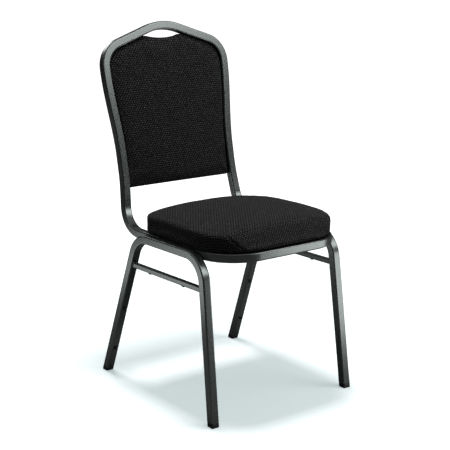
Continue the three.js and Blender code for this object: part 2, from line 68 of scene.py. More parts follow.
class Slot(Enum):
    """The record's material slots."""

    PAINT = "frame_paint"
    STEEL = "plated_steel"
    PLASTIC = "black_plastic"
    CLOTH = "upholstery"
    DUST = "dust_cloth"
    FOAM = "foam"
    PLYWOOD = "plywood"


class Side(Enum):
    """The two sides of the chair, with the sign of x on each."""

    LEFT = -1
    RIGHT = 1

    @property
    def label(self) -> str:
        """The side's name as it stands in the node names."""
        return self.name.lower()


# ------------------------------------------------------------------ frames of reference


@dataclass(frozen=True)
class Frames:
    """The maker's frames, in millimetres and degrees above the floor frame."""

    rail_height: float = 410.0
    seat_pitch: float = 1.0
    back_lean: float = 11.8
    back_y: float = 178.0
    foot_x: float = 218.3
    leg_top_x: float = 209.3

    @property
    def pitch(self) -> float:
        """Pitch of the seat frame in radians."""
        return math.radians(self.seat_pitch)

    @property
    def lean(self) -> float:
        """Lean of the back in radians."""
        return math.radians(self.back_lean)

    @property
    def splay(self) -> float:
        """Sideways lean of each leg frame in radians."""
        return math.atan((self.foot_x - self.leg_top_x) / self.rail_height)

    @property
    def back_origin(self) -> np.ndarray:
        """Where the back's centreline would cross the side rails'."""
        return np.array([0.0, self.back_y, self.rail_height - self.back_y * math.tan(self.pitch)])

    @staticmethod
    def _about_x(points: np.ndarray, angle: float) -> np.ndarray:
        """Turns points about the x axis: y * cos - z * sin, y * sin + z * cos.

        Args:
            points: Points, shape (..., 3).
            angle: The turn in radians.

        Returns:
            The turned points.
        """
        cos, sin = math.cos(angle), math.sin(angle)
        x, y, z = np.moveaxis(points, -1, 0)
        return np.stack([x, y * cos - z * sin, y * sin + z * cos], axis=-1)

    def floor(self, points: np.ndarray) -> np.ndarray:
        """Takes points above the floor to the row frame in metres."""
        return (points + np.array([0.0, CENTRING, 0.0])) * MM

    def seat(self, points: np.ndarray) -> np.ndarray:
        """Takes points of the pitched seat frame to the row frame in metres."""
        turned = self._about_x(points, -self.pitch)
        return self.floor(turned + np.array([0.0, 0.0, self.rail_height]))

    def back(self, points: np.ndarray) -> np.ndarray:
        """Takes (across, forward, along) points of the back's plane to the row frame."""
        turned = self._about_x(points * np.array([1.0, -1.0, 1.0]), -self.lean)
        return self.floor(turned + self.back_origin)

    def leg(self, points: np.ndarray, side: Side) -> np.ndarray:
        """Takes points of a side's leg plane to the row frame in metres.

        The plane leans in from the foot by the splay: x * cos + z * sin, z * cos - x * sin.

        Args:
            points: Points (out of the plane, y, up the plane), shape (..., 3).
            side: Which side.

        Returns:
            The same points in the row frame.
        """
        angle = -side.value * self.splay
        cos, sin = math.cos(angle), math.sin(angle)
        x, y, z = np.moveaxis(points, -1, 0)
        foot = side.value * self.foot_x
        return self.floor(np.stack([x * cos + z * sin + foot, y, z * cos - x * sin], axis=-1))


FRAMES = Frames()


# ------------------------------------------------------------------ shape making


def unit(vectors: np.ndarray) -> np.ndarray:
    """Vectors divided by their own lengths, along the last axis."""
    return vectors / np.linalg.norm(vectors, axis=-1, keepdims=True)


def rounded_square(half: float, corner: float, steps: int = 4) -> np.ndarray:
    """Outline of a square section with round corners, anticlockwise.

    Each corner is a quarter circle about a point one radius in from both flats. A point a
    little before and after it on the flats keeps the flats' shading flat. The other three
    corners are the first one turned by a right angle, again and again.

    Args:
        half: Half the width across the flats.
        corner: Radius of the corners.
        steps: Steps in each quarter circle.

    Returns:
        Points of shape (4 * (steps + 3), 2).
    """
    angles = np.linspace(0, math.pi / 2, steps + 1)
    centre = half - corner
    arc = centre + corner * np.stack([np.cos(angles), np.sin(angles)], axis=-1)
    lead = min(centre, FLAT_LEAD * corner)
    quarter = np.vstack([[half, centre - lead], arc, [centre - lead, half]])
    right_angle = np.array([[0, 1], [-1, 0]])
    return np.vstack([quarter @ np.linalg.matrix_power(right_angle, turns) for turns in range(4)])


def bent_line(corners: np.ndarray, radii: list[float], step: float = 3.0) -> np.ndarray:
    """A polyline whose inner corners are arcs that touch both neighbours.

    An arc starts radius * tan(turn / 2) before its corner. Along it a point is the start
    plus radius * sin(angle) ahead and radius * (1 - cos(angle)) towards the inside.

    Args:
        corners: Corner points, shape (n, k).
        radii: One radius for each inner corner.
        step: Largest angle between two points of an arc, in degrees.

    Returns:
        The points of the rounded line, shape (m, k).
    """
    points = [corners[:1]]
    for before, corner, after, radius in zip(corners, corners[1:], corners[2:], radii):
        into, out = unit(corner - before), unit(after - corner)
        turn = math.acos(float(np.clip(into @ out, -1, 1)))
        inward = unit(out - into * math.cos(turn))
        angles = np.linspace(0, turn, math.ceil(math.degrees(turn) / step) + 1)[:, None]
        start = corner - into * radius * math.tan(turn / 2)
        points.append(start + into * radius * np.sin(angles) + inward * radius * (1 - np.cos(angles)))
    points.append(corners[-1:])
    return np.vstack(points)


def along(path: np.ndarray, closed: bool = False) -> np.ndarray:
    """Unit headings along a path: the mean of the directions before and after a point.

    Args:
        path: Points, shape (n, k).
        closed: Whether the path joins up with its start.

    Returns:
        The headings, shape (n, k).
    """
    if closed:
        return unit(np.roll(path, -1, axis=0) - np.roll(path, 1, axis=0))
    legs = unit(np.diff(path, axis=0))
    return unit(np.vstack([legs[:1], legs[:-1] + legs[1:], legs[-1:]]))


def swept(path: np.ndarray, facing: np.ndarray, section: np.ndarray, closed: bool = False) -> np.ndarray:
    """Carries a section along a path without twisting it.

    At each point the section's second axis is the facing direction, squared to the
    heading, and its first axis is facing x heading.

    Args:
        path: Centreline, shape (n, 3).
        facing: The direction one flat keeps facing, shape (3,) or (n, 3).
        section: Section outline, shape (m, 2) or (n, m, 2).
        closed: Whether the path joins up with its start.

    Returns:
        A grid of points, shape (n, m, 3).
    """
    heading = along(path, closed)
    across = unit(np.cross(np.broadcast_to(facing, path.shape), heading))
    upward = np.cross(heading, across)
    section = np.broadcast_to(section, (len(path),) + section.shape[-2:])
    return path[:, None] + section[..., :1] * across[:, None] + section[..., 1:] * upward[:, None]


def revolved(profile: np.ndarray, origin: np.ndarray, axis: np.ndarray, sides: int = 28) -> np.ndarray:
    """Turns a (radius, height) profile about an axis: origin + radius * ring + height * axis.

    Args:
        profile: Profile points, shape (n, 2), from the bottom centre to the top centre.
        origin: Where height is zero.
        axis: Unit direction of the height.
        sides: Points around the axis.

    Returns:
        A grid of points, shape (n, sides, 3).
    """
    across = unit(np.cross(axis, OUTWARD))
    other = np.cross(axis, across)
    angle = np.linspace(0, 2 * math.pi, sides, endpoint=False)
    ring = np.cos(angle)[:, None] * across + np.sin(angle)[:, None] * other
    return origin + profile[:, :1, None] * ring + profile[:, 1:, None] * axis


@dataclass
class Shell:
    """Vertices and faces that are gathered into one mesh.

    Each grid added is one closed skin: rows join to the next row, columns wrap round, and
    the first and last rows are closed by a flat face.
    """

    vertices: list[np.ndarray] = field(default_factory=list)
    faces: list[list[int]] = field(default_factory=list)

    def add(self, grid: np.ndarray, wrap_rows: bool = False) -> "Shell":
        """Adds a grid of metres, shape (n, m, 3), closed round its columns.

        Args:
            grid: The points, row by row.
            wrap_rows: Whether the last row joins up with the first one.

        Returns:
            The shell itself.
        """
        rows, columns = grid.shape[:2]
        base = sum(len(block) for block in self.vertices)
        index = base + np.arange(rows * columns).reshape(rows, columns)
        skin = np.vstack([index, index[:1]]) if wrap_rows else index
        ahead = np.roll(skin, -1, axis=1)
        quads = np.stack([skin[:-1], ahead[:-1], ahead[1:], skin[1:]], axis=-1).reshape(-1, 4)
        self.faces += quads.tolist()
        if not wrap_rows:
            self.faces += [index[0, ::-1].tolist(), index[-1].tolist()]
        self.vertices.append(grid.reshape(-1, 3))
        return self

    def mesh(self, name: str) -> bpy.types.Object:
        """Makes the gathered skins into one smooth object at the origin.

        Args:
            name: The piece's name.

        Returns:
            The linked object.
        """
        data = bpy.data.meshes.new(name)
        data.from_pydata(np.vstack(self.vertices).tolist(), [], self.faces)
        data.validate()
        data.shade_smooth()
        data.set_sharp_from_angle(angle=math.radians(SHARP_ANGLE))
        outward(data)
        return link(name, data)


def link(name: str, data: bpy.types.ID) -> bpy.types.Object:
    """Links a mesh, light or camera to the scene as an object at the origin.

    Args:
        name: The object's name.
        data: What the object shows.

    Returns:
        The linked object.
    """
    made = bpy.data.objects.new(name, data)
    bpy.context.scene.collection.objects.link(made)
    return made


def outward(data: bpy.types.Mesh) -> None:
    """Turns a closed mesh's faces over if its signed volume is negative.

    The volume is the sum over triangles of the triple product of their corners, over six.

    Args:
        data: The mesh.
    """
    data.calc_loop_triangles()
    corners = np.zeros(len(data.loop_triangles) * 3, np.int32)
    data.loop_triangles.foreach_get("vertices", corners)
    places = positions(data)[corners.reshape(-1, 3)]
    places -= places.mean(axis=(0, 1))
    if np.einsum("ij,ij->", places[:, 0], np.cross(places[:, 1], places[:, 2])) < 0:
        data.flip_normals()


def positions(data: bpy.types.Mesh) -> np.ndarray:
    """The mesh's vertex positions.

    Args:
        data: The mesh.

    Returns:
        The positions, shape (n, 3).
    """
    flat = np.zeros(len(data.vertices) * 3)
    data.vertices.foreach_get("co", flat)
    return flat.reshape(-1, 3)


def set_positions(data: bpy.types.Mesh, places: np.ndarray) -> None:
    """Moves the mesh's vertices to new positions of shape (n, 3)."""
    data.vertices.foreach_set("co", places.astype(np.float32).ravel())
    data.update()


def place(piece: bpy.types.Object, slot: Slot, material: bpy.types.Material, *nodes: str) -> None:
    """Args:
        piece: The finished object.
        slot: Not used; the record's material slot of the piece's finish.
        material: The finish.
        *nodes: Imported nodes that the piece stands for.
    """
    piece.data.materials.clear()
    piece.data.materials.append(material)
    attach(piece, BODY)
    if nodes:
        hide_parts(*nodes)
    faces = len(piece.data.polygons)
    LOG.info("%s: %d faces, stands for %s", piece.name, faces, list(nodes) or "nothing")


# ------------------------------------------------------------------ shader graphs


class Value:
    """A socket that carries a number; operators on it add Math nodes."""

    def __init__(self, graph: "Graph", socket: bpy.types.NodeSocket) -> None:
        """Wraps a socket of a graph."""
        self.graph = graph
        self.socket = socket

    def __add__(self, other: "Value | float") -> "Value":
        """This plus the other."""
        return self.graph.math("ADD", self, other)

    def __sub__(self, other: "Value | float") -> "Value":
        """This minus the other."""
        return self.graph.math("SUBTRACT", self, other)

    def __rsub__(self, other: float) -> "Value":
        """The other minus this."""
        return self.graph.math("SUBTRACT", other, self)

    def __mul__(self, other: "Value | float") -> "Value":
        """This times the other."""
        return self.graph.math("MULTIPLY", self, other)

    def __truediv__(self, other: "Value | float") -> "Value":
        """This over the other."""
        return self.graph.math("DIVIDE", self, other)

    def __pow__(self, other: float) -> "Value":
        """This to the power of the other."""
        return self.graph.math("POWER", self, other)

    __radd__ = __add__
    __rmul__ = __mul__

    def clamped(self, low: float = 0.0, high: float = 1.0) -> "Value":
        """This held between two limits."""
        return self.graph.math("MINIMUM", self.graph.math("MAXIMUM", self, low), high)

    def ramp(self, low: float, high: float) -> "Value":
        """Rises from 0 at low to 1 at high, held to that range outside."""
        return ((self - low) / (high - low)).clamped()

    def wave(self) -> "Value":
        """Sine of this times a full turn, moved to the range 0 to 1."""
        return self.graph.math("SINE", self * (2 * math.pi)) * 0.5 + 0.5

    def floor(self) -> "Value":
        """The whole number at or below this."""
        return self.graph.math("FLOOR", self)


class Graph:
    """A material's node graph, with one method that adds any kind of node."""

    def __init__(self, name: str) -> None:
        """Starts a material with only its output and its main shader.

        Args:
            name: The material's name.
        """
        self.material = bpy.data.materials.new(name)
        self.material.use_nodes = True
        self.tree = self.material.node_tree
        self.shader = self.tree.nodes["Principled BSDF"]

    def node(self, kind: str, settings: dict | None = None, inputs: dict | None = None) -> bpy.types.Node:
        """Adds a node.

        Args:
            kind: The node's type, without the ShaderNode prefix.
            settings: Attributes set first; "stops" fills a colour ramp with (place, colour).
            inputs: Values or links for its sockets, by name or number.

        Returns:
            The node.
        """
        made = self.tree.nodes.new("ShaderNode" + kind)
        for key, value in (settings or {}).items():
            if key == "stops":
                elements = made.color_ramp.elements
                while len(elements) < len(value):
                    elements.new(1.0)
                for element, (where, colour) in zip(elements, value):
                    element.position, element.color = where, (*colour, 1.0)
            else:
                setattr(made, key, value)
        for key, value in (inputs or {}).items():
            self.feed(made.inputs[key], value)
        return made

    def feed(self, socket: bpy.types.NodeSocket, value: object) -> None:
        """Links a value to a socket, or sets the socket to a constant.

        Args:
            socket: The input to feed.
            value: A number, colour, vector, socket or wrapped socket.
        """
        if isinstance(value, Value):
            value = value.socket
        if isinstance(value, bpy.types.NodeSocket):
            self.tree.links.new(value, socket)
        elif isinstance(value, tuple) and socket.type == "RGBA" and len(value) == 3:
            socket.default_value = (*value, 1.0)
        else:
            socket.default_value = value

    def math(self, operation: str, *terms: object) -> Value:
        """Adds a Math node on one to three values."""
        made = self.node("Math", {"operation": operation}, dict(enumerate(terms)))
        return Value(self, made.outputs[0])

    def coordinates(self) -> bpy.types.NodeSocket:
        """The Object coordinates of the piece, in metres."""
        return self.node("TexCoord").outputs["Object"]

    def cloth_lengths(self) -> tuple[Value, Value]:
        """Metres across and along the cloth, from the piece's own map."""
        split = self.node("SeparateXYZ", inputs={0: self.node("UVMap", {"uv_map": "weave"}).outputs[0]})
        return Value(self, split.outputs[0]), Value(self, split.outputs[1])

    def noise(self, scale: float, detail: float = 2.0, vector: object = None) -> Value:
        """Noise from 0 to 1.

        Args:
            scale: Periods for each metre.
            detail: How many finer layers are laid over it.
            vector: Where it is read; the Object coordinates if nothing is given.

        Returns:
            The noise.
        """
        where = vector or self.coordinates()
        made = self.node("TexNoise", inputs={"Scale": scale, "Detail": detail, "Vector": where})
        return Value(self, made.outputs[0])

    def mix(self, amount: Value, first: object, second: object) -> bpy.types.NodeSocket:
        """Mixes two colours by an amount."""
        made = self.node("Mix", {"data_type": "RGBA"}, {0: amount, 6: first, 7: second})
        return made.outputs[2]

    def bump(self, height: Value, distance: float, strength: float = 1.0) -> bpy.types.NodeSocket:
        """Normals of a height from 0 to 1 that stands up to a distance in metres."""
        made = self.node("Bump", inputs={"Height": height, "Distance": distance, "Strength": strength})
        return made.outputs[0]

    def finish(self, **sockets: object) -> bpy.types.Material:
        """Feeds the main shader's sockets.

        Args:
            **sockets: Values or links by name; an underscore stands for a space.

        Returns:
            The finished material.
        """
        for name, value in sockets.items():
            self.feed(self.shader.inputs[name.replace("_", " ")], value)
        return self.material


# ------------------------------------------------------------------ finishes


@dataclass(frozen=True)
class PowderCoat:
    """Satin gunmetal powder coat: fine orange peel, metal flake and slight scuffs.

    Here and in the other finishes a scale is in periods for each metre, and a height is
    the depth of the relief in metres.
    """

    tone: tuple = (0.205, 0.228, 0.220)
    flake: tuple = (0.290, 0.315, 0.305)
    scuff: tuple = (0.160, 0.175, 0.170)
    metallic: float = 0.96
    roughness: float = 0.27
    uneven: float = 0.03
    mottle: float = 0.15
    wear: float = 0.15
    clear_coat: float = 0.15
    clear_roughness: float = 0.2
    peel_scale: float = 900.0
    flake_scale: float = 2600.0
    cloud_scale: float = 14.0
    wear_scale: float = 55.0
    peel_height: float = 0.00001

    def material(self) -> bpy.types.Material:
        """Builds the finish.

        Returns:
            The material.
        """
        graph = Graph("gunmetal_powder_coat")
        peel = graph.noise(self.peel_scale, 2.0)
        fleck = graph.noise(self.flake_scale, 0.0).ramp(0.56, 0.72)
        cloud = graph.noise(self.cloud_scale, 3.0)
        worn = graph.noise(self.wear_scale, 5.0).ramp(0.62, 0.80)
        body = graph.mix(fleck * self.mottle + cloud * self.mottle, self.tone, self.flake)
        least = self.roughness - self.uneven / 2
        return graph.finish(
            Base_Color=graph.mix(worn * self.wear, body, self.scuff),
            Metallic=self.metallic,
            Roughness=(cloud * self.uneven + worn * self.uneven + least).clamped(),
            Coat_Weight=self.clear_coat,
            Coat_Roughness=self.clear_roughness,
            Normal=graph.bump(peel, self.peel_height, 0.5),
        )


@dataclass(frozen=True)
class ZincPlate:
    """Zinc-plated steel of screws and nuts, cloudy and finely brushed."""

    tone: tuple = (0.52, 0.53, 0.54)
    dull: tuple = (0.36, 0.36, 0.35)
    cloud_scale: float = 420.0
    brush_scale: float = 3000.0
    brush_height: float = 0.00002

    def material(self) -> bpy.types.Material:
        """Builds the finish.

        Returns:
            The material.
        """
        graph = Graph("zinc_plate")
        cloud = graph.noise(self.cloud_scale, 4.0)
        return graph.finish(
            Base_Color=graph.mix(cloud.ramp(0.35, 0.7), self.tone, self.dull),
            Metallic=0.95,
            Roughness=cloud * 0.2 + 0.25,
            Normal=graph.bump(graph.noise(self.brush_scale, 1.0), self.brush_height, 0.5),
        )


@dataclass(frozen=True)
class MouldedPlastic:
    """Black moulded feet and bumpers with a spark-eroded grain."""

    tone: tuple = (0.012, 0.0125, 0.013)
    dusty: tuple = (0.035, 0.034, 0.032)
    dust_scale: float = 160.0
    grain_scale: float = 2400.0
    grain_height: float = 0.00005

    def material(self) -> bpy.types.Material:
        """Builds the finish.

        Returns:
            The material.
        """
        graph = Graph("black_moulded_plastic")
        dust = graph.noise(self.dust_scale, 4.0).ramp(0.5, 0.8)
        return graph.finish(
            Base_Color=graph.mix(dust * 0.5, self.tone, self.dusty),
            Roughness=dust * 0.2 + 0.48,
            Normal=graph.bump(graph.noise(self.grain_scale, 2.0), self.grain_height, 0.5),
        )


@dataclass(frozen=True)
class RibbedCloth:
    """Black tonal upholstery: staggered ribs of raised yarn with paler flecks.

    Rows lie one rib pitch apart, in metres. Each row's yarns are a sine along the row, and
    every second row is moved by half a yarn, so the raised dots are staggered.
    """

    ground: tuple = (0.0014, 0.0014, 0.0018)
    yarn: tuple = (0.032, 0.033, 0.033)
    fleck: tuple = (0.090, 0.092, 0.088)
    rib_pitch: float = 0.0056
    yarn_pitch: float = 0.0080
    wander_scale: float = 60.0
    speck_scale: float = 330.0
    twist_scale: float = 2200.0
    shade_scale: float = 26.0
    yarn_height: float = 0.0009
    sheen: float = 0.04

    def material(self) -> bpy.types.Material:
        """Builds the finish.

        Returns:
            The material.
        """
        graph = Graph("black_ribbed_cloth")
        across, length = graph.cloth_lengths()
        wander = graph.noise(self.wander_scale, 2.0)
        row = length / self.rib_pitch + wander * 0.5
        shift = row.floor() * 0.5
        rib = graph.math("SINE", (row - row.floor()) * math.pi)
        thread = (across / self.yarn_pitch + shift + wander * 0.4).wave()
        dot = (rib * (thread * 0.8 + 0.2)) ** 1.4
        speck = graph.noise(self.speck_scale, 1.0).ramp(0.38, 0.64)
        twist = graph.noise(self.twist_scale, 1.0)
        shade = graph.noise(self.shade_scale, 3.0)
        raised = (dot * (shade * 0.3 + 0.45) + dot * speck * 0.4).clamped()
        worked = graph.mix(raised, self.ground, self.yarn)
        height = dot * 0.6 + twist * 0.1 + speck * 0.3
        return graph.finish(
            Base_Color=graph.mix((speck * dot * 0.8).clamped(), worked, self.fleck),
            Roughness=1.0 - dot * 0.22,
            Specular_IOR_Level=0.25,
            Sheen_Weight=self.sheen,
            Sheen_Roughness=0.45,
            Normal=graph.bump(height, self.yarn_height, 1.0),
        )


@dataclass(frozen=True)
class NonWoven:
    """Black non-woven dust cloth with a pressed dot grid."""

    tone: tuple = (0.014, 0.014, 0.015)
    pale: tuple = (0.034, 0.034, 0.035)
    pitch: float = 0.0022
    fibre_scale: float = 700.0
    fibre_height: float = 0.00015

    def material(self) -> bpy.types.Material:
        """Builds the finish.

        Returns:
            The material.
        """
        graph = Graph("non_woven_dust_cloth")
        split = graph.node("SeparateXYZ", inputs={0: graph.coordinates()})
        across, depth = (Value(graph, split.outputs[axis]) for axis in (0, 1))
        dots = (across / self.pitch).wave() * (depth / self.pitch).wave()
        fibres = graph.noise(self.fibre_scale, 4.0)
        return graph.finish(
            Base_Color=graph.mix((fibres * 0.8 + dots * 0.3).clamped(), self.tone, self.pale),
            Roughness=0.9,
            Normal=graph.bump(fibres - dots * 0.6, self.fibre_height, 0.8),
        )


@dataclass(frozen=True)
class CutFoam:
    """Pale polyurethane foam with open cells."""

    tone: tuple = (0.72, 0.64, 0.40)
    shade: tuple = (0.52, 0.44, 0.24)
    cell_scale: float = 900.0
    cell_depth: float = 0.0003

    def material(self) -> bpy.types.Material:
        """Builds the finish.

        Returns:
            The material.
        """
        graph = Graph("cut_foam")
        inputs = {"Scale": self.cell_scale, "Vector": graph.coordinates()}
        cells = Value(graph, graph.node("TexVoronoi", inputs=inputs).outputs["Distance"])
        return graph.finish(
            Base_Color=graph.mix(cells.clamped(), self.tone, self.shade),
            Roughness=0.92,
            Normal=graph.bump(cells, self.cell_depth, 0.7),
        )


@dataclass(frozen=True)
class Plywood:
    """Raw hardwood plywood: long grain lines across the board."""

    tone: tuple = (0.50, 0.33, 0.16)
    grain: tuple = (0.30, 0.17, 0.07)
    stretch: tuple = (6.0, 90.0, 90.0)
    grain_scale: float = 4.0
    grain_depth: float = 0.0002

    def material(self) -> bpy.types.Material:
        """Builds the finish.

        Returns:
            The material.
        """
        graph = Graph("raw_plywood")
        stretched = graph.node("Mapping", inputs={0: graph.coordinates(), "Scale": self.stretch})
        lines = graph.noise(self.grain_scale, 6.0, stretched.outputs[0])
        return graph.finish(
            Base_Color=graph.mix(lines.ramp(0.35, 0.68), self.tone, self.grain),
            Roughness=lines * 0.2 + 0.6,
            Normal=graph.bump(lines, self.grain_depth, 0.5),
        )


# ------------------------------------------------------------------ welded frame


@dataclass(frozen=True)
class Tube:
    """Square steel tube: its width across the flats and its corner radius."""

    width: float = 22.0
    corner: float = 3.0

    @property
    def half(self) -> float:
        """Half the width across the flats."""
        return self.width / 2

    def run(self, path: np.ndarray, facing: np.ndarray) -> np.ndarray:
        """The tube's outer skin along a path, as a grid of points."""
        return swept(path, facing, rounded_square(self.half, self.corner))


MAIN_TUBE = Tube()
STRETCHER_TUBE = Tube(13.0, 1.8)


@dataclass
class Weld:
    """A fillet of rippled weld metal laid along a line."""

    size: float
    ripple: float = 0.16
    pitch: float = 2.4
    step: float = 0.6
    sides: int = 10
    blunt: float = 0.15

    def bead(self, line: np.ndarray, facing: np.ndarray, closed: bool) -> np.ndarray:
        """The bead's skin along a line.

        The section is a circle whose radius is size * (1 + ripple * |sin|) of the distance
        along the line, one arch for each ripple pitch. At open ends it tapers to the blunt
        share of its radius by the square root of the distance to the end.

        Args:
            line: Points of the joint, shape (n, 3).
            facing: Direction that squares the section.
            closed: Whether the joint goes all the way round.

        Returns:
            A grid of points, shape (n, sides, 3).
        """
        ring = np.vstack([line, line[:1]]) if closed else line
        distance = np.concatenate([[0.0], np.cumsum(np.linalg.norm(np.diff(ring, axis=0), axis=1))])
        where = np.linspace(0, distance[-1], round(distance[-1] / self.step), endpoint=not closed)
        path = np.stack([np.interp(where, distance, ring[:, axis]) for axis in range(3)], axis=-1)
        radius = self.size * (1 + self.ripple * np.abs(np.sin(math.pi * where / self.pitch)))
        if not closed:
            ends = np.minimum(where, distance[-1] - where) / (2 * self.size)
            radius *= self.blunt + (1 - self.blunt) * np.sqrt(np.clip(ends, 0, 1))
        angle = np.linspace(0, 2 * math.pi, self.sides, endpoint=False)
        circle = np.stack([np.cos(angle), np.sin(angle)], axis=-1)
        return swept(path, facing, radius[:, None, None] * circle, closed)


@dataclass
class BackHoop:
    """The hoop of the back with its two side rails, one bent tube.

    It is drawn flat as a half outline, mirrored, and folded through the bend between the
    side rails and the leaning back.
    """

    rail_x: float = 186.7
    rail_joint_y: float = -150.0
    bend: float = 75.0
    waist_x: float = 176.8
    waist_start: float = 150.0
    flare_start: float = 196.0
    flare_end: float = 424.0
    shoulder_x: float = 193.5
    shoulder_bend: float = 67.0
    shoulder_slope: float = math.radians(18.9)
    crown_height: float = 541.5
    crown_bend: float = 154.0
    crown_clear: float = 1.0

    @property
    def bend_angle(self) -> float:
        """Angle between the side rails and the back, in radians."""
        return math.pi / 2 - FRAMES.lean + FRAMES.pitch

    @property
    def bend_reach(self) -> float:
        """How far the bend reaches along each straight from their crossing."""
        return self.bend * math.tan(self.bend_angle / 2)

    @property
    def bend_start(self) -> float:
        """Height along the flat hoop where the bend starts; below it the rail runs forward."""
        return self.bend_reach - self.bend * self.bend_angle

    def half_width(self, height: np.ndarray) -> np.ndarray:
        """Half width of the centreline at heights along the flat hoop.

        It eases from the rails in to the waist and out to the shoulders, each by
        t * t * (3 - 2 * t) of the height's share of the way.

        Args:
            height: Heights, shape (n,).

        Returns:
            The half widths, shape (n,).
        """
        def ease(t: np.ndarray) -> np.ndarray:
            """Smooth step of a share of the way."""
            t = np.clip(t, 0, 1)
            return t * t * (3 - 2 * t)

        narrow = (self.rail_x - self.waist_x) * (1 - ease(height / self.waist_start))
        rise = (height - self.flare_start) / (self.flare_end - self.flare_start)
        return self.waist_x + narrow + (self.shoulder_x - self.waist_x) * ease(rise)

    def half_outline(self) -> np.ndarray:
        """Right half of the flat hoop, from the rail's front end to the crown.

        Returns:
            Points (across, height), shape (n, 2).
        """
        rail_length = (FRAMES.back_y - self.bend_reach - self.rail_joint_y) / math.cos(FRAMES.pitch)
        rail = self.bend_start - rail_length
        heights = np.concatenate([
            [rail], np.linspace(self.bend_start, self.bend_reach, 31),
            np.linspace(self.bend_reach, self.flare_end, 64)[1:]])
        side = np.stack([self.half_width(heights), heights], axis=-1)
        shoulder = self.crown_height - self.shoulder_x * math.tan(self.shoulder_slope)
        top = bent_line(np.array([[self.shoulder_x, self.flare_end], [self.shoulder_x, shoulder],
                                  [0.0, self.crown_height], [-self.shoulder_x, shoulder]]),
                        [self.shoulder_bend, self.crown_bend], 2.0)
        top = top[1:][top[1:, 0] > self.crown_clear]
        crown = self.crown_height - self.crown_bend * (1 / math.cos(self.shoulder_slope) - 1)
        return np.vstack([side, top, [0.0, crown]])

    def folded(self, flat: np.ndarray) -> tuple[np.ndarray, np.ndarray]:
        """Folds flat points into place above the floor.

        Past the bend a point runs up the leaning back, before it along the rail, and in
        it round the bend's centre by its distance along the bend over the radius.

        Args:
            flat: Points (across, height), shape (n, 2).

        Returns:
            Their places above the floor and the upward normals there, each of shape (n, 3).
        """
        x, height = flat.T
        pitch, lean = FRAMES.pitch, FRAMES.lean
        corner = FRAMES.back_origin[1:]
        forward = np.array([-math.cos(pitch), math.sin(pitch)])
        start = corner + forward * self.bend_reach
        angle = np.clip((height - self.bend_start) / self.bend, 0, self.bend_angle) - pitch
        centre = start + self.bend * np.array([math.sin(pitch), math.cos(pitch)])
        turning = centre + self.bend * np.stack([np.sin(angle), -np.cos(angle)], axis=-1)
        past = np.clip(height - self.bend_reach, 0, None)[:, None]
        before = np.clip(self.bend_start - height, 0, None)[:, None]
        side_view = turning + past * np.array([math.sin(lean), math.cos(lean)]) + before * forward
        places = np.column_stack([x, side_view])
        return places, np.column_stack([np.zeros_like(x), -np.sin(angle), np.cos(angle)])

    def build(self, paint: bpy.types.Material) -> None:
        """Makes the hoop.

        Args:
            paint: The finish.
        """
        half = self.half_outline()
        flat = np.vstack([half, (half[:-1] * np.array([-1, 1]))[::-1]])
        path, facing = self.folded(flat)
        shell = Shell().add(FRAMES.floor(MAIN_TUBE.run(path, facing)))
        place(shell.mesh("back_hoop"), Slot.PAINT, paint, "back_frame_tube")


HOOP = BackHoop()


@dataclass
class SeatRails:
    """The bent front rail and the straight rear cross bar of the seat frame."""

    front_y: float = -255.5
    front_bend: float = 96.0
    crossbar_y: float = 82.0
    weld_sink: float = 0.4

    def build(self, paint: bpy.types.Material) -> None:
        """Makes both rails and the welds that join them to the side rails.

        Args:
            paint: The finish.
        """
        x, joint = HOOP.rail_x, HOOP.rail_joint_y - GAP
        corners = np.array([[-x, joint, 0], [-x, self.front_y, 0], [x, self.front_y, 0], [x, joint, 0]])
        path = bent_line(corners, [self.front_bend, self.front_bend])
        place(Shell().add(FRAMES.seat(MAIN_TUBE.run(path, UP))).mesh("front_rail"),
              Slot.PAINT, paint, "seat_front_rail")
        reach = x - MAIN_TUBE.half - GAP
        bar = np.array([[-reach, self.crossbar_y, 0], [reach, self.crossbar_y, 0]])
        place(Shell().add(FRAMES.seat(MAIN_TUBE.run(bar, UP))).mesh("rear_cross_bar"),
              Slot.PAINT, paint, "seat_rear_crossbar")
        self.build_welds(paint, reach)

    def build_welds(self, paint: bpy.types.Material, reach: float) -> None:
        """Makes the welds round the butt joints of the rails.

        Args:
            paint: The finish.
            reach: Distance of the cross bar's ends from the middle plane.
        """
        ring = rounded_square(MAIN_TUBE.half - GAP, MAIN_TUBE.corner)
        across, up, level = ring[:, 0], ring[:, 1], np.zeros(len(ring))
        butt_y = HOOP.rail_joint_y - GAP / 2
        lengthwise = np.array([0.0, 1.0, 0.0])
        butt_weld, fillet = Weld(size=0.9, ripple=0.2), Weld(size=1.7)
        shell = Shell()
        for side in Side:
            butt = np.column_stack([side.value * HOOP.rail_x + across, level + butt_y, up])
            shell.add(FRAMES.seat(butt_weld.bead(butt, lengthwise, True)), wrap_rows=True)
            end_x = side.value * (reach - self.weld_sink)
            end = np.column_stack([level + end_x, self.crossbar_y + across, up])
            shell.add(FRAMES.seat(fillet.bead(end, OUTWARD, True)), wrap_rows=True)
        place(shell.mesh("seat_frame_welds"), Slot.PAINT, paint)


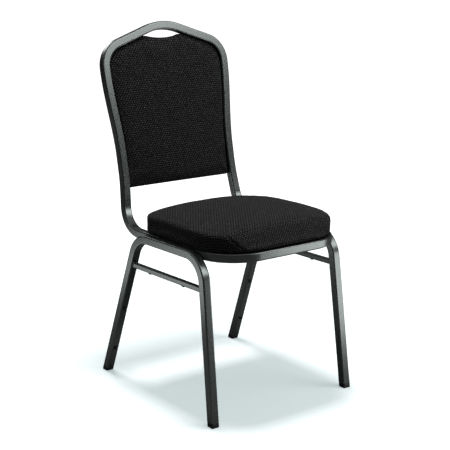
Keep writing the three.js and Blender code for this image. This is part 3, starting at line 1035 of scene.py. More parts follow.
@dataclass(frozen=True)
class Glide:
    """A moulded foot: a plug in the tube's end, a thin collar and a rounded sole.

    The plug and the collar are (half width, height along the leg) of square rings.
    """

    plug: tuple = ((8.2, 6.0), (9.1, 5.2), (9.1, 0.0))
    collar: tuple = ((10.6, 0.0), (10.95, -0.5), (11.0, -1.4), (10.85, -1.75), (10.85, -2.2),
                     (11.05, -2.7))
    corner: float = 3.0
    sole_half: float = 11.05
    sole_edge: float = 2.6

    def skin(self, top: np.ndarray, axis: np.ndarray, side: Side) -> np.ndarray:
        """The foot's skin in the leg plane.

        Each column runs down the leg's axis from the tube's end. It stops where it meets
        the floor, and over the last stretch the section draws in by a quarter circle.

        Args:
            top: Middle of the tube's end.
            axis: Unit direction up the leg.
            side: Which side.

        Returns:
            A grid of points, shape (rings, columns, 3).
        """
        across = np.cross(OUTWARD, axis)

        def ring(half: float, corner: float) -> np.ndarray:
            """A square ring about the tube's end."""
            section = rounded_square(half, corner)
            return top + section[:, :1] * OUTWARD + section[:, 1:] * across

        rows = [ring(half, min(self.corner, half / 2)) + axis * height
                for half, height in self.plug + self.collar]
        for angle in np.radians([0, 15, 30, 45, 60, 75, 90]):
            section = ring(self.sole_half - self.sole_edge * (1 - math.cos(angle)), self.corner)
            reach = self.drop(section, axis, side) - self.sole_edge * (1 - math.sin(angle))
            rows.append(section - axis * reach[:, None])
        return np.array(rows)

    @staticmethod
    def drop(places: np.ndarray, axis: np.ndarray, side: Side) -> np.ndarray:
        """Distances down a leg's axis to the floor: the height over the fall for each step.

        Args:
            places: Places in the leg plane, shape (n, 3).
            axis: Unit direction up the leg.
            side: Which side.

        Returns:
            The distances, shape (n,).
        """
        height = FRAMES.leg(places, side)[:, 2] / MM
        fall = (FRAMES.leg(places, side) - FRAMES.leg(places - axis, side))[:, 2] / MM
        return height / fall


@dataclass(frozen=True)
class BumperHead:
    """The domed head of a stacking bumper: a rolled rim and a quarter-ellipse dome."""

    rim: tuple = ((POLE, 0.2), (5.6, 0.2), (5.95, 0.35), (6.0, 0.7), (5.85, 0.95), (5.5, 1.0))
    dome_radius: float = 5.3
    dome_base: float = 1.0
    dome_rise: float = 3.0

    def skin(self, origin: np.ndarray, axis: np.ndarray) -> np.ndarray:
        """The head's skin.

        Args:
            origin: The middle of the head on its tube's face.
            axis: Unit direction out of that face.

        Returns:
            A grid of points.
        """
        angle = np.linspace(0, math.pi / 2, 9)
        dome = np.stack([self.dome_radius * np.cos(angle) + POLE,
                         self.dome_base + self.dome_rise * np.sin(angle)], axis=-1)
        return revolved(np.vstack([self.rim, dome]), origin, axis)


@dataclass
class LegFrame:
    """One side's legs: a tube bent to an inverted U, its stretcher, feet and bumpers."""

    front_foot_y: float = -245.0
    rear_foot_y: float = 242.0
    front_rake: float = math.radians(7.6)
    rear_rake: float = math.radians(20.3)
    bend: float = 70.0
    stretcher_height: float = 331.0
    stretcher_sink: float = 1.0
    glide_height: float = 12.0
    glide_gap: float = 0.35
    leg_bumpers: tuple = (("upper", 202.0), ("lower", 77.0))
    stretcher_bumpers: tuple = (("front", -112.0), ("rear", 34.0))
    stretcher_weld_inset: float = 1.3
    rail_weld_starts: tuple = (-118.0, 12.0)
    rail_weld_length: float = 38.0
    rail_weld_out: float = 0.2
    rail_weld_in: float = 0.6

    def point(self, front: bool, height: float) -> np.ndarray:
        """A point on a leg's centreline in the leg plane.

        Args:
            front: Whether it is on the front leg.
            height: Its height above the floor.

        Returns:
            The point, shape (3,).
        """
        if front:
            y = self.front_foot_y + height * math.tan(self.front_rake)
        else:
            y = self.rear_foot_y - height * math.tan(self.rear_rake)
        return np.array([0.0, y, height])

    def crossing(self, front: bool, rail_height: float) -> np.ndarray:
        """Where a leg's centreline crosses a line that is pitched like the seat.

        The height is (rail height - rise * foot) / (1 + rise * lean).

        Args:
            front: Whether it is the front leg.
            rail_height: Height of the pitched line at y = 0.

        Returns:
            The point, shape (3,).
        """
        rise = math.tan(FRAMES.pitch)
        foot = self.point(front, 0.0)[1]
        lean = self.point(front, 1.0)[1] - foot
        return self.point(front, (rail_height - rise * foot) / (1 + rise * lean))

    def line(self) -> np.ndarray:
        """The leg tube's centreline in the leg plane, shape (n, 3)."""
        ends = [self.point(front, self.glide_height * math.cos(rake))
                for front, rake in ((True, self.front_rake), (False, self.rear_rake))]
        shoulders = [self.crossing(front, FRAMES.rail_height) for front in (True, False)]
        return bent_line(np.array([ends[0], *shoulders, ends[1]]), [self.bend, self.bend])

    def build(self, side: Side, paint: bpy.types.Material, plastic: bpy.types.Material) -> None:
        """Makes one side's leg frame with everything on it.

        Args:
            side: Which side.
            paint: The finish of the tubes.
            plastic: The finish of the feet and bumpers.
        """
        label = side.label
        legs = FRAMES.leg(MAIN_TUBE.run(self.line(), OUTWARD), side)
        place(Shell().add(legs).mesh(f"{label}_leg_tube"), Slot.PAINT, paint, f"{label}_leg_frame")
        ends = np.array([self.crossing(front, self.stretcher_height) for front in (True, False)])
        inward = unit(ends[::-1] - ends)
        slopes = 1 / np.cos(np.array([self.front_rake, self.rear_rake]))
        trimmed = ends + inward * (MAIN_TUBE.half * slopes[:, None] - self.stretcher_sink)
        stretcher = FRAMES.leg(STRETCHER_TUBE.run(trimmed, OUTWARD), side)
        place(Shell().add(stretcher).mesh(f"{label}_side_stretcher"),
              Slot.PAINT, paint, f"{label}_stretcher")
        self.build_welds(side, paint, trimmed, inward)
        for front, name in ((True, "front"), (False, "rear")):
            self.build_glide(side, front, name, plastic)
        self.build_bumpers(side, plastic)

    def build_welds(self, side: Side, paint: bpy.types.Material,
                    ends: np.ndarray, inward: np.ndarray) -> None:
        """Makes the welds at the stretcher's ends and along the side rail.

        Args:
            side: Which side.
            paint: The finish.
            ends: The stretcher's end points in the leg plane.
            inward: Directions from each end into the stretcher.
        """
        shell = Shell()
        ring = rounded_square(STRETCHER_TUBE.half, STRETCHER_TUBE.corner)
        fillet = Weld(size=1.35, ripple=0.22, pitch=2.0, step=0.5)
        for end, direction, rake in zip(ends, inward, (self.front_rake, -self.rear_rake)):
            slant = ring[:, 1] * math.tan(rake)
            loop = np.column_stack([ring[:, 0], slant, ring[:, 1]])
            loop = loop + end + direction * self.stretcher_weld_inset
            shell.add(FRAMES.leg(fillet.bead(loop, direction, True), side), wrap_rows=True)
        rail_face = side.value * (HOOP.rail_x + MAIN_TUBE.half + self.rail_weld_out)
        edge = MAIN_TUBE.half - self.rail_weld_in
        for height in (edge, -edge):
            for start in self.rail_weld_starts:
                line = np.array([[rail_face, start, height],
                                 [rail_face, start + self.rail_weld_length, height]])
                shell.add(FRAMES.seat(Weld(size=1.9).bead(line, UP, False)))
        place(shell.mesh(f"{side.label}_leg_welds"), Slot.PAINT, paint)

    def build_glide(self, side: Side, front: bool, name: str, plastic: bpy.types.Material) -> None:
        """Makes a foot on the end of a leg.

        Args:
            side: Which side.
            front: Whether it is on the front leg.
            name: The leg's name in the node names.
            plastic: The finish.
        """
        rake = self.front_rake if front else -self.rear_rake
        axis = np.array([0.0, math.sin(rake), math.cos(rake)])
        top = self.point(front, 0.0) + axis * (self.glide_height - self.glide_gap)
        skin = FRAMES.leg(Glide().skin(top, axis, side), side)
        place(Shell().add(skin).mesh(f"{side.label}_{name}_foot"),
              Slot.PLASTIC, plastic, f"{side.label}_{name}_glide")

    def build_bumpers(self, side: Side, plastic: bpy.types.Material) -> None:
        """Makes the four domed buttons that keep stacked chairs apart.

        Args:
            side: Which side.
            plastic: The finish.
        """
        forward = np.array([0.0, -math.cos(self.rear_rake), -math.sin(self.rear_rake)])
        down = np.array([0.0, -math.sin(FRAMES.pitch), -math.cos(FRAMES.pitch)])
        places = [(f"leg_bumper_{name}", self.point(False, height) + forward * MAIN_TUBE.half, forward)
                  for name, height in self.leg_bumpers]
        for name, y in self.stretcher_bumpers:
            middle = np.array([0.0, y, self.stretcher_height - y * math.tan(FRAMES.pitch)])
            places.append((f"stretcher_bumper_{name}", middle + down * STRETCHER_TUBE.half, down))
        for name, origin, axis in places:
            skin = FRAMES.leg(BumperHead().skin(origin, axis), side)
            place(Shell().add(skin).mesh(f"{side.label}_{name}_button"),
                  Slot.PLASTIC, plastic, f"{side.label}_{name}")


# ------------------------------------------------------------------ upholstery


def resampled(outline: np.ndarray, count: int, soften: float) -> np.ndarray:
    """Evenly spaced points round a closed outline, with its corners softened.

    The even points are averaged with their neighbours by a bell curve whose width is the
    softening length.

    Args:
        outline: Points of the outline, shape (n, 2).
        count: How many points to give back.
        soften: Softening length in millimetres.

    Returns:
        Points of shape (count, 2).
    """
    ring = np.vstack([outline, outline[:1]])
    distance = np.concatenate([[0.0], np.cumsum(np.linalg.norm(np.diff(ring, axis=0), axis=1))])
    where = np.linspace(0, distance[-1], count, endpoint=False)
    even = np.stack([np.interp(where, distance, ring[:, axis]) for axis in range(2)], axis=-1)
    offset = np.arange(count)
    offset = np.minimum(offset, count - offset) * distance[-1] / count
    weight = np.exp(-0.5 * (offset / soften) ** 2)
    spectrum = np.fft.rfft(weight / weight.sum())[:, None]
    return np.fft.irfft(np.fft.rfft(even, axis=0) * spectrum, n=count, axis=0)


def outward_way(outline: np.ndarray) -> np.ndarray:
    """Unit normals that point out of a closed outline, from its headings and its turn.

    Args:
        outline: Points, shape (n, 2).

    Returns:
        The normals, shape (n, 2).
    """
    heading = along(outline, closed=True)
    turn = np.sign(np.sum(outline * np.roll(outline, -1, axis=0)[:, ::-1] * [1, -1]))
    return turn * np.stack([heading[:, 1], -heading[:, 0]], axis=-1)


def drawn_in(outline: np.ndarray, inset: float | np.ndarray) -> np.ndarray:
    """The outline moved in along its own normals, by one distance or one for each point."""
    return outline - np.reshape(inset, (-1, 1)) * outward_way(outline)


def toward(middle: np.ndarray, outline: np.ndarray, share: float) -> np.ndarray:
    """The outline shrunk about a middle to a share of its size."""
    return middle + (outline - middle) * share


def levelled(plan: np.ndarray, height: float | np.ndarray) -> np.ndarray:
    """Points of a plan at one height, or at one for each point."""
    return np.column_stack([plan, np.broadcast_to(height, len(plan))])


@dataclass(frozen=True)
class Board:
    """A flat plywood board with eased edges."""

    name: str
    node: str
    outline: np.ndarray
    bottom: float
    thickness: float
    ease: float = 0.8

    def build(self, wood: bpy.types.Material, to_row: Callable[[np.ndarray], np.ndarray]) -> None:
        """Makes the board.

        Args:
            wood: The finish.
            to_row: Takes (outline first, outline second, height) points to the row frame.
        """
        small = toward(self.outline.mean(axis=0), self.outline, POLE)
        eased = drawn_in(self.outline, self.ease)
        top = self.bottom + self.thickness
        grid = np.array([levelled(small, self.bottom), levelled(eased, self.bottom),
                         levelled(self.outline, self.bottom + self.ease),
                         levelled(self.outline, top - self.ease),
                         levelled(eased, top), levelled(small, top)])
        place(Shell().add(to_row(grid)).mesh(self.name), Slot.PLYWOOD, wood, self.node)


@dataclass
class Padding:
    """Base of the padded pieces: a closed form that is swelled as cloth; the seat cushion's is then seamed
    with darts.
    """

    voxel: float = 5.0
    pressure: float = 4.0
    frames: int = 20
    cap: float = 5.0
    stiffness: float = 25.0
    bending: float = 1.5
    pinned_depth: float = 1.2

    def swell(self, piece: bpy.types.Object, held: np.ndarray) -> None:
        """Remeshes a form evenly and lets air pressure swell its cloth.

        The cloth is pinned where the form rests on its board, each point moves no further
        than the cap, and the result is applied to the mesh.

        Args:
            piece: The closed form, in the row frame in metres.
            held: Unit direction in which the form rests.
        """
        self.bake(piece, "REMESH", voxel_size=self.voxel * MM)
        rest = positions(piece.data)
        move = self.simulated(piece, rest @ held) - rest
        length = np.linalg.norm(move, axis=1, keepdims=True)
        share = np.minimum(1.0, self.cap * MM / np.maximum(length, 1e-9))
        set_positions(piece.data, rest + move * share)
        LOG.info("%s swelled %.1f mm at most, %.1f mm on average", piece.name,
                 length.max() / MM, length.mean() / MM)
        self.bake(piece, "SMOOTH", factor=0.5, iterations=2)
        self.bake(piece, "SUBSURF", levels=1, render_levels=1)

    def simulated(self, piece: bpy.types.Object, depth: np.ndarray) -> np.ndarray:
        """Runs the cloth and gives its last places; the piece keeps its own.

        Args:
            piece: The evenly meshed form.
            depth: How far each point lies towards the board, in metres. The deepest points,
                about a voxel thick, are pinned.

        Returns:
            The swollen places, shape (n, 3).
        """
        pinned = np.flatnonzero(depth > depth.max() - self.pinned_depth * self.voxel * MM)
        group = piece.vertex_groups.new(name="rests_on_board")
        group.add(pinned.tolist(), 1.0, "REPLACE")
        cloth = piece.modifiers.new("swell", "CLOTH")
        cloth.settings.use_pressure = True
        cloth.settings.uniform_pressure_force = self.pressure
        cloth.settings.effector_weights.gravity = 0.0
        cloth.settings.vertex_group_mass = group.name
        cloth.settings.quality = 5
        cloth.settings.tension_stiffness = self.stiffness
        cloth.settings.compression_stiffness = self.stiffness
        cloth.settings.bending_stiffness = self.bending
        cloth.point_cache.frame_start, cloth.point_cache.frame_end = 1, self.frames
        for number in range(1, self.frames + 1):
            bpy.context.scene.frame_set(number)
        swollen = positions(piece.evaluated_get(bpy.context.evaluated_depsgraph_get()).data)
        piece.modifiers.clear()
        piece.vertex_groups.clear()
        bpy.context.scene.frame_set(1)
        return swollen

    @staticmethod
    def bake(piece: bpy.types.Object, kind: str, **settings: object) -> None:
        """Adds one modifier, applies it to the mesh and removes it.

        Args:
            piece: The piece.
            kind: The modifier's type.
            **settings: Its settings.
        """
        modifier = piece.modifiers.new(kind.lower(), kind)
        for name, value in settings.items():
            setattr(modifier, name, value)
        graph = bpy.context.evaluated_depsgraph_get()
        data = bpy.data.meshes.new_from_object(piece.evaluated_get(graph))
        piece.modifiers.clear()
        old, piece.data = piece.data, data
        bpy.data.meshes.remove(old)
        data.shade_smooth()

    @staticmethod
    def map_cloth(piece: bpy.types.Object, lengths: np.ndarray) -> None:
        """Writes metres across and along the cloth as the piece's own map.

        Args:
            piece: The finished piece.
            lengths: Metres at each vertex, shape (n, 2).
        """
        data = piece.data
        layer = data.uv_layers.new(name="weave")
        corners = np.zeros(len(data.loops), np.int32)
        data.loops.foreach_get("vertex_index", corners)
        layer.data.foreach_set("uv", lengths[corners].astype(np.float32).ravel())

    @staticmethod
    def normals(data: bpy.types.Mesh) -> np.ndarray:
        """The mesh's vertex normals.

        Args:
            data: The mesh.

        Returns:
            The normals, shape (n, 3).
        """
        flat = np.zeros(len(data.vertices) * 3)
        data.vertex_normals.foreach_get("vector", flat)
        return flat.reshape(-1, 3)


@dataclass
class SeatCushion(Padding):
    """The thick crowned seat cushion with a dart at each front corner."""

    cap: float = 2.0
    half_front: float = 206.0
    half_rear: float = 199.5
    front_y: float = -264.0
    rear_y: float = 106.0
    front_corner: float = 122.0
    rear_corner: float = 60.0
    bottom: float = 11.6
    top: float = 78.4
    crown_radius: float = 1300.0
    crown_y: float = -50.0
    side_edge: float = 4.0
    rear_edge: float = 8.0
    dart_edge: float = 3.0
    nose_start: float = -226.0
    nose_reach: float = 40.0
    nose_drop: float = 66.0
    nose_power: float = 1.5
    hem: float = 8.0
    tuck: float = 1.5
    turn_up: float = 2.5
    start_inset: float = -1.8
    soften: float = 3.0
    dart_low: tuple = (-128.0, -257.0, 12.0)
    dart_high: tuple = (-161.0, -228.0, 52.0)
    dart_corner: tuple = (-60.0, -120.0)
    dart_depth: float = 2.2
    dart_width: float = 2.4
    dart_reach: float = 34.0
    dart_fade: float = 26.0
    dart_foot: float = 1.0
    dart_foot_fade: float = 7.0
    pucker_depth: float = 0.55
    pucker_count: float = 46.0
    pucker_top: float = 34.0
    pucker_fade: float = 22.0
    pucker_centre: tuple = (60.0, -80.0)
    pucker_spread: float = 0.3
    weave_start: float = 4.0
    board_inset: float = 14.0
    board_lift: float = 1.0
    board_thickness: float = 12.0

    def outline(self, count: int = 260) -> np.ndarray:
        """Plan of the cushion.

        Args:
            count: How many evenly spaced points to give.

        Returns:
            Points (across, y), shape (count, 2).
        """
        right = np.array([[0, self.rear_y], [self.half_rear, self.rear_y], [self.half_front, self.front_y]])
        corners = np.vstack([right, right[::-1] * np.array([-1, 1])])
        radii = [self.rear_corner, self.front_corner, self.front_corner, self.rear_corner]
        return resampled(bent_line(corners, radii)[:-1], count, self.soften)

    def dome(self, plan: np.ndarray) -> np.ndarray:
        """Height of the crown without its nose: the top less the drop of a sphere."""
        square = plan[..., 0] ** 2 + (plan[..., 1] - self.crown_y) ** 2
        return self.top - square / (2 * self.crown_radius)

    def crown(self, plan: np.ndarray) -> np.ndarray:
        """Height of the crown with its nose.

        In front of the nose's start the dome falls by
        drop * (1 - (1 - share ** power) ** (1 / power)) of the share of the nose's reach.

        Args:
            plan: Points (across, y), shape (n, 2).

        Returns:
            The heights, shape (n,).
        """
        share = np.clip((self.nose_start - plan[..., 1]) / self.nose_reach, 0, 1)
        fall = 1 - (1 - share ** self.nose_power) ** (1 / self.nose_power)
        return self.dome(plan) - self.nose_drop * fall

    def edge_radius(self, outline: np.ndarray) -> np.ndarray:
        """Radius of the top edge round the plan: soft behind, tight where the darts run.

        Args:
            outline: The plan's points, shape (n, 2).

        Returns:
            The radii, shape (n,).
        """
        facing = outward_way(outline)[:, 1]
        rear = np.clip(facing, 0, 1) ** 2 * (self.rear_edge - self.side_edge)
        dart = np.clip((-facing - 0.3) / 0.4, 0, 1) * (self.side_edge - self.dart_edge)
        return self.side_edge + rear - dart

    def form(self) -> np.ndarray:
        """The closed starting form, as rings from the bottom's middle to the crown.

        The bottom is flat and its edge turns up by a small quarter circle. The side bows out
        by the sine of its share of the height, the top edge is a quarter circle laid on the
        crown, and the rest follows the crown to the middle.

        Returns:
            A grid of points in the seat frame, shape (rings, 260, 3).
        """
        outline = drawn_in(self.outline(), self.start_inset)
        edge = self.edge_radius(outline)
        middle = np.array([0.0, (self.nose_start + self.rear_y) / 2])
        low = self.bottom + self.turn_up
        least = low + self.hem
        base = drawn_in(outline, self.tuck + self.turn_up)
        rows = [levelled(toward(middle, base, share), self.bottom) for share in (POLE, 0.35, 0.7, 0.93)]
        for angle in np.radians([0, 30, 60, 90]):
            plan = drawn_in(outline, self.tuck + self.turn_up * (1 - math.sin(angle)))
            rows.append(levelled(plan, self.bottom + self.turn_up * (1 - math.cos(angle))))
        rim = np.maximum(self.crown(outline) - edge, least)
        for share in np.linspace(0.15, 1.0, 8):
            plan = drawn_in(outline, self.tuck * (1 - math.sin(share * math.pi / 2)))
            rows.append(levelled(plan, low + (rim - low) * share))
        for angle in np.radians(np.arange(15, 91, 15)):
            plan = drawn_in(outline, edge * (1 - math.cos(angle)))
            height = self.crown(plan) - edge * (1 - math.sin(angle))
            rows.append(levelled(plan, np.maximum(height, least)))
        insets = (4.0, 9.0, 15.0, 22.0, 30.0)
        plans = [drawn_in(outline, edge + inset) for inset in insets]
        plans += [toward(middle, plans[-1], share) for share in (0.85, 0.7, 0.55, 0.4, 0.25, 0.1, POLE)]
        rows += [levelled(plan, np.maximum(self.crown(plan), least)) for plan in plans]
        return np.array(rows)

    def seam(self, places: np.ndarray, side: Side) -> np.ndarray:
        """Depth of a corner dart at seat-frame places, from 0 to 1.

        The dart lies in a plane through its low end, its high end and the way in to the
        middle of the corner. Its depth is a bell of the distance to that plane, and it
        fades at the bottom, above its high end and in from the corner.

        Args:
            places: Points of the seat frame, shape (n, 3).
            side: Which front corner.

        Returns:
            The depths, shape (n,).
        """
        local = places * np.array([-side.value, 1.0, 1.0])
        low, high = np.array(self.dart_low), np.array(self.dart_high)
        inward = unit(np.array([1.0, 1.0, 0.0]))
        across = unit(np.cross(high - low, inward))
        near = np.exp(-(((local - low) @ across) / self.dart_width) ** 2)
        corner = np.all(local[:, :2] < self.dart_corner, axis=1)
        fade = np.clip((self.dart_reach - (local - high) @ inward) / self.dart_fade, 0, 1)
        foot = np.clip((local[:, 2] - self.bottom - self.dart_foot) / self.dart_foot_fade, 0, 1)
        return near * fade * corner * foot

    def finish_form(self, piece: bpy.types.Object) -> None:
        """Cuts the darts, gathers the cloth at the corners' feet and maps the weave.

        The weave lies flat on the crown. Below it a point's place on the cloth is its plan
        plus the way out times its drop below the dome.

        Args:
            piece: The swollen cushion.
        """
        places = positions(piece.data)
        seat = self.seat_places(places)
        normals = self.normals(piece.data)
        depth = sum(self.seam(seat, side) for side in Side) * self.dart_depth + self.puckers(seat)
        set_positions(piece.data, places - normals * (depth * MM)[:, None])
        drop = np.maximum(self.dome(seat[:, :2]) - self.weave_start - seat[:, 2], 0)
        way = normals[:, :2] / np.maximum(np.linalg.norm(normals[:, :2], axis=1), 0.2)[:, None]
        self.map_cloth(piece, (seat[:, :2] + way * drop[:, None]) * MM)

    def puckers(self, seat: np.ndarray) -> np.ndarray:
        """Small gathers at the bottom edge of the corners, where the cloth is pulled under.

        A sine of the angle round the corner, strongest at the bottom and gone half way up,
        times a bell of that angle about the corner's middle.

        Args:
            seat: Points of the seat frame, shape (n, 3).

        Returns:
            Their depths in millimetres, shape (n,).
        """
        x, y = self.pucker_centre
        angle = np.arctan2(seat[:, 1] - y, np.abs(seat[:, 0]) - x)
        low = np.clip((self.pucker_top - seat[:, 2]) / self.pucker_fade, 0, 1)
        corner = np.exp(-((np.abs(angle) - math.pi / 4) / self.pucker_spread) ** 2)
        return self.pucker_depth * low * corner * np.sin(angle * self.pucker_count)

    @staticmethod
    def seat_places(places: np.ndarray) -> np.ndarray:
        """Takes row-frame metres back to seat-frame millimetres.

        Args:
            places: Points of the row frame, shape (n, 3).

        Returns:
            The same points in the seat frame.
        """
        plain = places / MM - np.array([0.0, CENTRING, FRAMES.rail_height])
        cos, sin = math.cos(FRAMES.pitch), math.sin(FRAMES.pitch)
        x, y, z = plain.T
        return np.column_stack([x, y * cos - z * sin, y * sin + z * cos])

    def build(self, cloth: bpy.types.Material, wood: bpy.types.Material) -> None:
        """Makes the cushion and the board inside it.

        Args:
            cloth: The finish of the cushion.
            wood: The finish of the board.
        """
        piece = Shell().add(FRAMES.seat(self.form())).mesh("seat_cushion")
        self.swell(piece, -UP)
        self.finish_form(piece)
        place(piece, Slot.CLOTH, cloth, "seat_cover", "seat_foam")
        board = Board("seat_plywood", "seat_board", drawn_in(self.outline(), self.board_inset),
                      self.bottom + self.board_lift, self.board_thickness)
        board.build(wood, FRAMES.seat)


@dataclass
class BackPad(Padding):
    """The padded front of the back, inside the hoop, with a hollow top edge."""

    voxel: float = 4.0
    cap: float = 2.4
    clearance: float = 0.8
    bottom: float = 108.8
    dip: float = 499.5
    dip_radius: float = 166.0
    tip_x: float = 56.0
    crown: float = 14.2
    crown_radius: float = 3500.0
    middle: float = 310.0
    rear: float = -9.4
    edge_width: float = 8.0
    edge_drop: float = 3.8
    rear_edge: float = 1.5
    start_inset: float = -0.6
    soften: float = 2.0
    board_inset: float = 7.0
    board_rear: float = 2.4
    board_thickness: float = 6.0
    panel_front: float = -9.8
    panel_edge: tuple = ((0.6, -9.8), (0.1, -10.0), (0.0, -10.3), (0.3, -10.7), (1.2, -11.1),
                         (3.0, -11.35))
    panel_rear: float = -11.5
    panel_bow: float = 1.2

    def outline(self, inset: float = 0.0, count: int = 300) -> np.ndarray:
        """Outline of the pad in the back's plane, a little inside the hoop.

        Args:
            inset: Extra distance in from the pad's own edge.
            count: How many points to give back.

        Returns:
            Points (across, height), shape (count, 2).
        """
        half = HOOP.half_outline()
        heading = unit(np.gradient(half, axis=0))
        inward = np.stack([-heading[:, 1], heading[:, 0]], axis=-1)
        inner = half + (MAIN_TUBE.half + self.clearance) * inward
        side = inner[(inner[:, 1] > self.bottom + 4) & (inner[:, 0] > self.tip_x + 2)]
        across = np.linspace(self.tip_x, 0, 12)
        hollow = self.dip + self.dip_radius - np.sqrt(self.dip_radius ** 2 - across ** 2)
        right = np.vstack([[side[0, 0], self.bottom], side, np.column_stack([across, hollow])])
        left = (right[:-1] * np.array([-1, 1]))[::-1]
        return drawn_in(resampled(np.vstack([right, left]), count, self.soften), inset)

    def front(self, plane: np.ndarray) -> np.ndarray:
        """How far forward the pad's face stands: the crown less a sphere's drop."""
        square = plane[..., 0] ** 2 + (plane[..., 1] - self.middle) ** 2
        return self.crown - square / (2 * self.crown_radius)

    def form(self) -> np.ndarray:
        """The closed starting form, as rings from the middle of the rear to the front.

        The rear is flat. The side stands straight for a short way and then turns over by a
        quarter ellipse as wide as the edge, and the face shrinks towards the middle.

        Returns:
            A grid of (across, forward, along) points, shape (rings, 300, 3).
        """
        outline = self.outline(self.start_inset)
        centre = np.array([0.0, self.middle])
        inner = drawn_in(outline, self.edge_width)
        rim = self.front(inner) - self.edge_drop
        rows = [self.ring(toward(centre, outline, share), self.rear) for share in (POLE, 0.3, 0.6, 0.85)]
        rows += [self.ring(drawn_in(outline, self.rear_edge), self.rear),
                 self.ring(outline, self.rear + self.rear_edge), self.ring(outline, rim)]
        for angle in np.radians(np.arange(12, 91, 13)):
            plane = drawn_in(outline, self.edge_width * (1 - math.cos(angle)))
            rows.append(self.ring(plane, rim + self.edge_drop * math.sin(angle)))
        for share in (0.97, 0.85, 0.7, 0.55, 0.4, 0.25, 0.1, POLE):
            plane = toward(centre, inner, share)
            rows.append(self.ring(plane, self.front(plane)))
        return np.array(rows)

    @staticmethod
    def ring(plane: np.ndarray, forward: float | np.ndarray) -> np.ndarray:
        """One ring of (across, forward, along) points, at one forward distance or several."""
        return levelled(plane, forward)[:, [0, 2, 1]]

    def build(self, cloth: bpy.types.Material, wood: bpy.types.Material) -> None:
        """Makes the pad, the board inside it and the covered panel behind it.

        Args:
            cloth: The finish of the pad and the panel.
            wood: The finish of the board.
        """
        piece = Shell().add(FRAMES.back(self.form())).mesh("back_pad")
        rearward = FRAMES.back(np.array([[0.0, -1.0, 0.0]])) - FRAMES.back(np.zeros((1, 3)))
        self.swell(piece, unit(rearward)[0])
        self.map_plane(piece)
        place(piece, Slot.CLOTH, cloth, "back_cover_front", "back_foam")
        board = Board("back_plywood", "back_board", self.outline(self.board_inset),
                      self.board_rear, self.board_thickness)
        board.build(wood, lambda grid: FRAMES.back((grid * [1, 1, -1])[..., [0, 2, 1]]))
        self.build_panel(cloth)

    def map_plane(self, piece: bpy.types.Object) -> None:
        """Maps the weave on the back's plane, across and along it.

        Args:
            piece: The finished piece.
        """
        plain = positions(piece.data) / MM - np.array([0.0, CENTRING, 0.0]) - FRAMES.back_origin
        height = plain[:, 1] * math.sin(FRAMES.lean) + plain[:, 2] * math.cos(FRAMES.lean)
        self.map_cloth(piece, np.column_stack([plain[:, 0], height]) * MM)

    def build_panel(self, cloth: bpy.types.Material) -> None:
        """Makes the rear panel: a thin board wrapped in cloth, with a soft rounded edge.

        Its rear face bows out by the bow times one less the share of the way to the edge.

        Args:
            cloth: The finish.
        """
        outline = self.outline()
        centre = np.array([0.0, self.middle])
        rows = [self.ring(toward(centre, outline, share), self.panel_front) for share in (POLE, 0.4, 0.8)]
        rows += [self.ring(drawn_in(outline, inset), forward) for inset, forward in self.panel_edge]
        rows += [self.ring(toward(centre, outline, share), self.panel_rear - self.panel_bow * (1 - share))
                 for share in (0.93, 0.8, 0.6, 0.4, 0.2, POLE)]
        piece = Shell().add(FRAMES.back(np.array(rows))).mesh("rear_panel")
        self.map_plane(piece)
        place(piece, Slot.CLOTH, cloth, "back_cover_rear")


@dataclass
class DustCover:
    """The thin cloth stapled under the seat board, sagging a little in the middle."""

    inset: float = 14.0
    top: float = 11.5
    thickness: float = 0.3
    sag: float = 1.6
    stapled: float = 0.8

    def build(self, seat: SeatCushion, cloth: bpy.types.Material) -> None:
        """Makes the cover as a closed thin skin.

        Its underside hangs by the sag times (1 - share squared) of the way to the staples.

        Args:
            seat: The cushion it closes.
            cloth: The finish.
        """
        outline = drawn_in(seat.outline(), self.inset)
        middle = np.array([0.0, (seat.front_y + seat.rear_y) / 2])
        shares = (POLE, 0.2, 0.4, 0.6, 0.75, 0.85, 0.95, 1.0)
        rows = [levelled(toward(middle, outline, share), self.top) for share in shares]
        for share in reversed(shares):
            hang = self.sag * max(0.0, 1 - (share / self.stapled) ** 2)
            rows.append(levelled(toward(middle, outline, share), self.top - self.thickness - hang))
        piece = Shell().add(FRAMES.seat(np.array(rows))).mesh("dust_cover")
        place(piece, Slot.DUST, cloth, "seat_dust_cover")


def dress_nodes(finishes: dict[str, bpy.types.Material]) -> None:
    """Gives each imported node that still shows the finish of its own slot.

    Args:
        finishes: The finish of each slot.
    """
    slots = {part["node"]: part["material_slot"] for part in frame["record"]["subparts"]}
    for name, node in sorted(frame["nodes"].items()):
        node.data.materials.clear()
        node.data.materials.append(finishes[slots[name]])
        if not node.hide_render:
            LOG.info("%s keeps its shape, finished as %s", name, slots[name])


# ------------------------------------------------------------------ studio


@dataclass(frozen=True)
class SoftBox:
    """A square area light aimed at a point."""

    name: str
    position: tuple
    target: tuple
    size: tuple
    power: float
    mirrored: bool = True

    def build(self) -> None:
        """Makes the light; one that is not mirrored leaves no highlights on the paint."""
        data = bpy.data.lights.new(self.name, "AREA")
        data.shape, data.size, data.size_y = "RECTANGLE", *self.size
        data.energy = self.power
        lamp = link(self.name, data)
        lamp.visible_glossy = self.mirrored
        back = unit(np.array(self.position) - np.array(self.target))
        across = unit(np.cross(UP, back)) if abs(back[2]) < 0.999 else OUTWARD
        lamp.matrix_world = looking(across, np.cross(back, across), back, np.array(self.position))


def looking(across: np.ndarray, upward: np.ndarray, back: np.ndarray, place_at: np.ndarray) -> Matrix:
    """The matrix of a thing whose axes and place are given.

    Args:
        across: Its x axis.
        upward: Its y axis.
        back: Its z axis.
        place_at: Its place in metres.

    Returns:
        The world matrix.
    """
    whole = np.eye(4)
    whole[:3, :3] = np.column_stack([across, upward, back])
    whole[:3, 3] = place_at
    return Matrix(whole.tolist())


